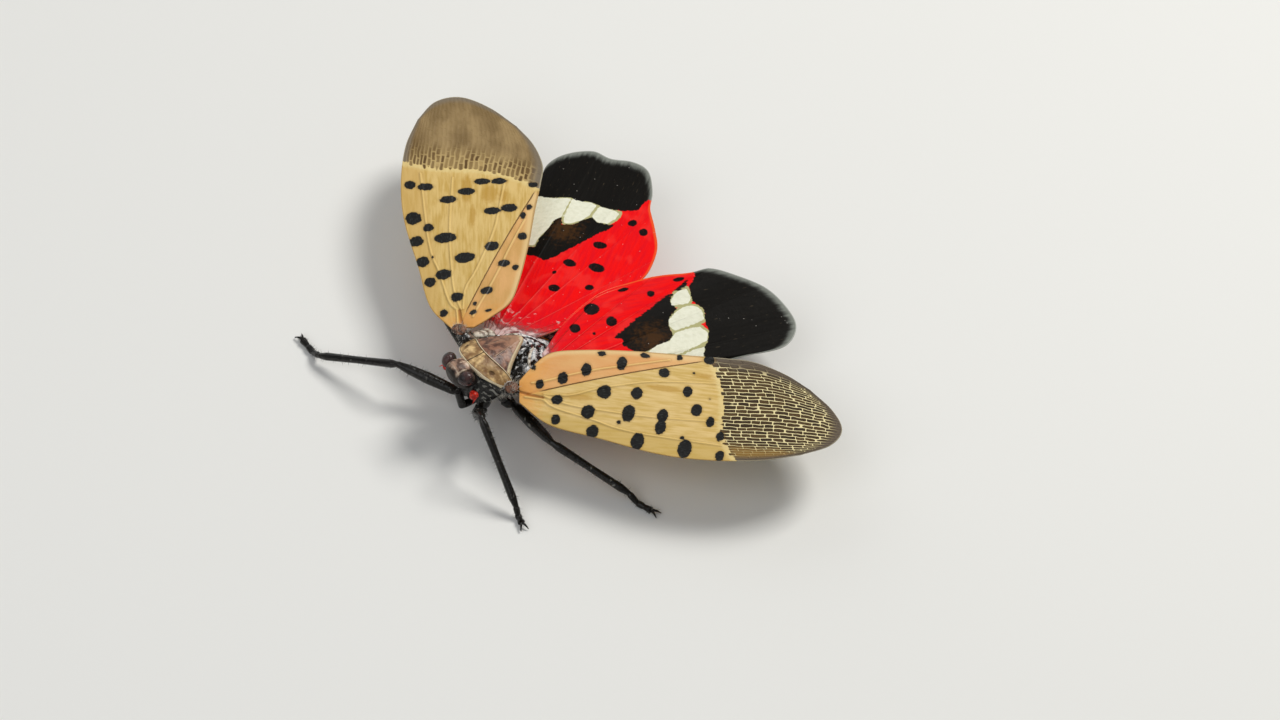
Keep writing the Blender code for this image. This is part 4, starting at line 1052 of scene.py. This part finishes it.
across = np.linspace(-COLLAR_HALF_WIDTH, COLLAR_HALF_WIDTH, 121)
arch = COLLAR_TOP - COLLAR_ARCH * across**2
under = np.linspace(0, math.pi, 90)[1:-1]
edge = arch[0] - COLLAR_RIM
x = np.r_[across, COLLAR_HALF_WIDTH * np.cos(under) * 0.95][None, :]
z = np.r_[arch, edge - (edge - COLLAR_BELLY) * np.sin(under)][None, :]
top = np.r_[np.ones(len(across)), np.zeros(len(under))][None, :]
share = np.r_[0, 0.005, 0.02, np.linspace(0.035, 0.965, 60), 0.98, 0.995, 1][:, None]
length = (COLLAR_REAR - COLLAR_FRONT) * (1 - COLLAR_TAPER * (x / COLLAR_HALF_WIDTH) ** 6)
y = (COLLAR_FRONT + COLLAR_REAR) / 2 + length * (share - 0.5) + COLLAR_BOW * x**2
rounding = 0.12 * np.clip(1 - np.minimum(share, 1 - share) / 0.02, 0, 1) ** 2
ridge = 0.05 * np.exp(-((np.minimum(share, 1 - share) - 0.045) / 0.025) ** 2)
pits = 0.06 * np.exp(-(((np.abs(x) - 1.45) / 0.22) ** 2) - ((share - 0.42) / 0.14) ** 2)
furrow = 0.04 * np.exp(-((x / 0.05) ** 2))
bulge = 0.05 * np.sin(share * math.pi) ** 2 * (1 - np.exp(-((x / 0.4) ** 2)))
lift = (ridge - 0.05 - pits - furrow + bulge) * top - rounding
inward = np.stack([x * (1 - rounding / 3), y, z + lift], axis=-1)
points, faces = tube(inward)
fields = np.zeros((len(points), 3))
fields[:-2, 0], fields[:-2, 1] = (x + 0 * share).ravel(), (share + 0 * x).ravel()
fields[:-2, 2] = (top + 0 * share).ravel()
collar = surface("pronotum_skin", points, faces, collar_finish, {"plate": fields})
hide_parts("pronotum")


# The mesonotum: a domed three-cornered plate, brown with a satin sheen and fine pits, with a raised margin
# that is pale at its point. Along the sides the margin is lightened on the left as a painted highlight and
# darkened on the right as painted shade.
SHIELD_FRONT = -0.5
SHIELD_APEX = 2.4
SHIELD_HALF_WIDTH = 1.76
SHIELD_LEVEL_AT = -0.75
SHIELD_SLOPE = 0.13
SHIELD_THICKNESS = 0.55
SHIELD_POINT = 0.12

shield_finish = Finish("shield", Roughness=0.4)
place, plate = shield_finish.place(), shield_finish.field("plate")
across, along, margin = (plate.part(i) for i in range(3))
grain = place.noise(2.4, 4.0)
shell = grain.rise(0.38, 0.62).blend((78, 46, 34), (150, 104, 80))
shell = (along.rise(0.3, 0.95) * 0.65).blend(shell, (190, 146, 114))
dots = place.cells(3.2).fall(0.09, 0.16)
shell = (dots * 0.5).blend(shell, (60, 34, 22))
keel = abs(abs(across) - 0.34).fall(0.02, 0.05) * along.rise(0.05, 0.15) * along.fall(0.5, 0.8)
shell = (keel * 0.4).blend(shell, (176, 140, 108))
rim = (margin + (grain - 0.5) * 0.06).fall(0.1, 0.17)
# The margin's left side is lightened as a painted highlight, and below its right side is darkened as painted
# shade.
pale = (rim * 0.9 * across.rise(-0.1, 0.2)).most(along.rise(0.88, 0.96) * 0.7)
shell = shell.painted(
    (margin.fall(0.05, 0.1) * across.fall(-0.1, 0.1) * 0.8, (60, 44, 34)),
    (pale, (214, 196, 158)),
)
shield_finish.drive("Base Color", shell)
shield_finish.drive("Normal", (grain - dots * 0.8 + keel * 0.5 + place.noise(9.0) * 0.3).bump(0.05))

along = np.linspace(0, 1, 80)[:, None]
across = np.linspace(-1, 1, 110)[None, :]
half = SHIELD_HALF_WIDTH * (1 - along) ** 0.85 + SHIELD_POINT
x = half * across
front = SHIELD_FRONT + COLLAR_BOW * x**2
y = front + (SHIELD_APEX - front) * along
margin = np.minimum((1 - np.abs(across)) * half * 0.85, (1 - along) * 1.2)
ridge = 0.04 * np.exp(-(((margin - 0.07) / 0.05) ** 2)) - 0.05 * np.clip(1 - margin / 0.04, 0, 1) ** 2
keel = 0.02 * np.exp(-(((np.abs(across) - 0.34) * half / 0.05) ** 2)) * np.sin(along * math.pi)
z = COLLAR_TOP - SHIELD_SLOPE * (y - SHIELD_LEVEL_AT) - COLLAR_ARCH * x**2 - 0.04 + ridge + keel
top = np.stack([x, y, z], axis=-1)
bottom = np.stack([x, y, z - SHIELD_THICKNESS * (1 - 0.5 * across**2) - ridge], axis=-1)
fields = {"plate": np.dstack([across + 0 * along, along + 0 * across, margin])}
shield = sheet("mesonotum_skin", top, bottom, shield_finish, fields)
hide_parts("mesonotum")


# The tegulae: small brown scales over the front wing roots.
TEGULA_FROM_ROOT = (-0.66, -0.37, 0.47)
TEGULA_SIZE = (0.5, 0.45, 0.18)
TEGULA_TURN = -30.0

tegula_finish = Finish("tegula", Roughness=0.5)
place = tegula_finish.place()
grain = place.noise(3.0, 4.0)
tegula_finish.drive("Base Color", grain.rise(0.4, 0.62).blend((64, 40, 26), (130, 84, 56)))
tegula_finish.drive("Normal", place.stretch(1.0, 3.0, 1.0).noise(4.0, 3.0).bump(0.08))
for side, sign in (("left", 1), ("right", -1)):
    centre = (np.array(FOREWING_POSES[side]["root"]) + TEGULA_FROM_ROOT) * (sign, 1, 1)
    tegula = surface(f"tegula_{side}_skin", *ellipsoid(centre, TEGULA_SIZE, TEGULA_TURN * sign),
        tegula_finish)
    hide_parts(f"tegula_{side}")


# The hairs: short and pale, on the wing scales and on the sides of the thorax and the first segment.
# Each is a thin three-sided cone that leans to the rear.
HAIR_SCATTERS = {
    "tegula_hairs": (160, 0.34, 0.009, (0.0, 0.3, 0.1)),
    "trunk_side_hairs": (420, 0.4, 0.008, (0.0, 0.3, -0.3)),
    "collar_side_hairs": (260, 0.4, 0.008, (0.0, 0.2, -0.3)),
    "leg_bristles": (1100, 0.3, 0.014, (0.0, 0.0, -0.4)),
}

hair_finish = Finish("hair", Roughness=0.6)
hair_finish.drive("Base Color", hair_finish.place().noise(3.0).blend((196, 186, 168), (240, 236, 226)))
fur("tegula_hairs", [bpy.data.objects[f"tegula_{side}_skin"] for side in ("left", "right")],
    lambda at, way: way[:, 2] > -0.2, *HAIR_SCATTERS["tegula_hairs"], hair_finish, "tan")
fur("trunk_side_hairs", [trunk], lambda at,
    way: (np.abs(at[:, 0]) > 1.5) & (at[:, 2] > 2.6) & (at[:, 1] < 1.4),
    *HAIR_SCATTERS["trunk_side_hairs"], hair_finish, "tan")
fur("collar_side_hairs", [collar], lambda at,
    way: (at[:, 2] < 4.5) & (at[:, 2] > 3.0) & (np.abs(at[:, 0]) > 1.2),
    *HAIR_SCATTERS["collar_side_hairs"], hair_finish, "tan")


# The head: a short black capsule with a mottled brown crown edged by pale ridges. It is one skin,
# and its rear lies under the pronotum.
HEAD_STATIONS = [
    (-1.95, 1.0, 5.85, 3.9, 4.7), (-2.3, 1.0, 5.95, 3.9, 4.7), (-2.55, 1.02, 6.02, 3.85, 4.9),
        (-2.85, 0.95, 6.03, 4.1, 5.0),
    (-3.1, 0.75, 5.9, 4.5, 5.15), (-3.27, 0.42, 5.6, 4.85, 5.25),
]

head_finish = Finish("head", Roughness=0.35, Specular_IOR_Level=0.3)
place = head_finish.place()
x, y, z = (place.part(i) for i in range(3))
grain = place.noise(2.6, 4.0)
front = grain.blend((8, 6, 5), (46, 34, 22))
crown = grain.rise(0.38, 0.62).blend((86, 64, 54), (172, 138, 116))
ridge = abs(y + 2.95 + (grain - 0.5) * 0.1).fall(0.03,
    0.08).most(abs(abs(x) - 0.56 + (grain - 0.5) * 0.1).fall(0.03, 0.08))
broken = place.noise(1.7, 3.0).rise(0.4, 0.56)
crown = (ridge.most(abs(x).fall(0.02, 0.05)).most(grain.rise(0.58, 0.68)) * broken * 0.7).blend(crown,
    (224, 204, 180))
upper = (z + (grain - 0.5) * 0.4).rise(5.4, 5.7) * (y + (grain - 0.5) * 0.2).rise(-3.16, -3.0)
head_finish.drive("Base Color", upper.blend(front, crown))
head_finish.drive("Normal", (grain + ridge * upper + place.noise(9.0, 2.0) * 0.4).bump(0.06))

bows = np.linspace(COLLAR_BOW, 0.0, len(HEAD_STATIONS))
head = surface("head_skin", *tube(body_rings(HEAD_STATIONS, bows, 96, 1.0, np.linspace(0, 1, 70))),
    head_finish)
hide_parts("head")


# The eyes and feelers: each eye is a large dark glossy oval with fine facets, set into the head. Under
# it the feeler is a grainy scarlet bulb that ends in a thread.
EYE_CENTRE = (1.0, -2.64, 5.48)
EYE_SIZE = (0.45, 0.56, 0.5)
EYE_TURN = -24.0
ANTENNA = [(1.28, -2.42, 4.33), (1.8, -2.5, 4.22), (1.98, -2.85, 4.08)]

eye_finish = Finish("eye", Roughness=0.24, Specular_IOR_Level=0.3, Coat_Weight=0.25, Coat_Roughness=0.08)
place = eye_finish.place()
facets = place.cells(9.0, "DISTANCE_TO_EDGE")
eye_finish.drive("Base Color", place.noise(1.6, 2.0).rise(0.35, 0.65).blend((18, 10, 10), (72, 46, 44)))
eye_finish.drive("Normal", facets.fall(0.0, 0.2).bump(-0.01))
antenna_finish = Finish("antenna", Roughness=0.4)
place = antenna_finish.place()
granules = place.cells(7.0)
antenna_finish.drive("Base Color", granules.fall(0.2, 0.6).blend((170, 24, 8), (250, 52, 20)))
antenna_finish.drive("Normal", granules.fall(0.1, 0.6).bump(0.06))
for side, sign in (("left", 1), ("right", -1)):
    mirror = np.array((sign, 1, 1))
    eye = surface(f"eye_{side}_skin", *ellipsoid(mirror * EYE_CENTRE, EYE_SIZE, EYE_TURN * sign, 64, 41),
        eye_finish)
    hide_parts(f"eye_{side}")
    base, bulb, tip = (mirror * point for point in ANTENNA)
    share = np.linspace(0, 1, 30)
    radii = 0.16 + 0.15 * np.sin(share**1.3 * math.pi) ** 0.8
    thread = limb_rings(bulb, tip, np.linspace(0.05, 0.012, 12), 32)
    feeler = surface(f"antenna_{side}_skin", *tube(np.vstack([limb_rings(base, bulb, radii, 32), thread])),
        antenna_finish)
    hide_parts(f"antenna_{side}")


# The beak: a thin black tube that folds back between the legs.
# It is one skin with a bend below the head.
ROSTRUM = [(0.0, -2.7, 3.4), (0.0, -2.4, 1.84), (0.0, 1.9, 1.5)]

beak = np.vstack([limb_rings(ROSTRUM[0], ROSTRUM[1], np.linspace(0.25, 0.28, 14)),
                  limb_rings(ROSTRUM[1], ROSTRUM[2], np.linspace(0.27, 0.1, 30))[2:]])
beak_skin = surface("rostrum_skin", *tube(beak), black_finish("beak"))
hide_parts("rostrum")


# The legs: long, thin and black, with a dull gloss. Each is one skin from its base to its foot, pinched at
# the joints, with short stiff hairs. The hind shins carry a row of spines, and each foot ends in two claws.
LEGS = {
    "fore_left": [(0.95, -1.35, 1.94), (1.0, -1.95, 1.85), (3.7, -3.3, 4.65), (8.4, -3.87, 0.75),
        (9.35, -4.1, 0.22)],
    "fore_right": [(-0.95, -1.35, 1.94), (-1.0, -1.95, 1.85), (-4.6, -4.35, 2.85), (-9.9, -7.2, 0.7),
        (-12.1, -7.15, 0.22)],
    "mid_left": [(1.0, 0.2, 1.65), (1.7, 0.45, 1.6), (6.9, 0.0, 3.0), (11.6, 2.7, 0.75), (13.3, 3.3, 0.22)],
    "mid_right": [(-1.0, 0.2, 1.65), (-1.7, 0.45, 1.6), (-6.8, 0.5, 3.0), (-11.0, 3.3, 0.7),
        (-12.6, 4.2, 0.22)],
    "hind_left": [(0.8, 2.2, 1.65), (1.4, 2.7, 1.55), (5.4, 6.3, 2.1), (9.3, 10.6, 0.7),
        (10.5, 12.3, 0.22)],
    "hind_right": [(-0.8, 2.2, 1.65), (-1.4, 2.7, 1.55), (-4.9, 6.7, 2.1), (-8.0, 11.3, 0.7),
        (-9.1, 13.1, 0.22)],
}
LEG_PROFILE = {
    "coxa": [(0.0, 0.4), (0.6, 0.42), (1.0, 0.26)],
    "femur": [(0.0, 0.24), (0.1, 0.34), (0.5, 0.4), (0.85, 0.32), (1.0, 0.22)],
    "tibia": [(0.0, 0.2), (0.06, 0.28), (0.5, 0.24), (0.92, 0.27), (1.0, 0.2)],
    "tarsus": [(0.0, 0.17), (0.08, 0.22), (0.36, 0.2), (0.42, 0.17), (0.5, 0.23), (0.66, 0.22),
        (0.72, 0.17), (1.0, 0.25)],
}
HEEL_SHARE = 0.4
CLAW_LENGTH = 0.75
CLAW_SPREAD = 24.0
SPINE_LENGTH = 0.75

leg_finish = black_finish("leg")
for name, joints in LEGS.items():
    joints = [np.array(joint) for joint in joints]
    heel = joints[3] + (joints[4] - joints[3]) * HEEL_SHARE
    heel[2] = joints[4][2]
    corners = np.array(joints[:4] + [heel, joints[4]])
    lengths = np.linalg.norm(np.diff(corners, axis=0), axis=1)
    stops = np.r_[0, np.cumsum(lengths)]
    at = np.linspace(0, stops[-1], 260)
    path = np.stack([np.interp(at, stops, column) for column in corners.T], axis=-1)
    parts = [stops[0], stops[1], stops[2], stops[3], stops[5]]
    profile = []
    for part, start, end in zip(LEG_PROFILE.values(), parts, parts[1:]):
        profile += [(start + (end - start) * (0.02 + 0.96 * share), radius) for share, radius in part]
    radii = np.interp(at, *np.transpose(profile))
    weights = np.hanning(9) / np.hanning(9).sum()
    padded = np.vstack([path[:1]] * 4 + [path] + [path[-1:]] * 4)
    path = np.stack([np.convolve(column, weights, "valid") for column in padded.T], axis=-1)
    points, faces = tube(path_rings(path, radii, 24))
    points[:, 2] = np.maximum(points[:, 2], 0.0)
    forms = [(points, faces)]
    way = (joints[4] - joints[3]) / np.linalg.norm(joints[4] - joints[3])
    for sign in (-1, 1):
        claw_way = turn(np.array([way[0], way[1], 0.0]), 2, sign * CLAW_SPREAD)
        claw_way = claw_way / np.linalg.norm(claw_way)
        bend = np.linspace(0, 1, 16)[:, None]
        claw = joints[4] - claw_way * 0.1 + claw_way * bend * CLAW_LENGTH + (0, 0,
            1) * (0.1 * np.sin(bend * math.pi) - 0.1 * bend**2)
        forms.append(tube(path_rings(claw, np.linspace(0.13, 0.03, 16), 12)))
    if name.startswith("hind"):
        out_sign = 1 if name.endswith("right") else -1
        shin = (joints[3] - joints[2]) / np.linalg.norm(joints[3] - joints[2])
        out = np.cross(shin, (0, 0, 1)) * out_sign
        for share in np.linspace(0.25, 0.87, 5):
            root = joints[2] + (joints[3] - joints[2]) * share
            forms.append(tube(limb_rings(root, root + (0.8 * out + 0.6 * shin) * SPINE_LENGTH,
                np.linspace(0.16, 0.02, 8), 12)))
    leg = surface(f"{name}_leg_skin", *joined(forms), leg_finish)
    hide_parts(*(f"{name}_{part}" for part in LEG_PROFILE))
fur("leg_bristles", [bpy.data.objects[f"{name}_leg_skin"] for name in LEGS],
    lambda at, way: at[:, 2] > 0.15, *HAIR_SCATTERS["leg_bristles"], leg_finish, "black")
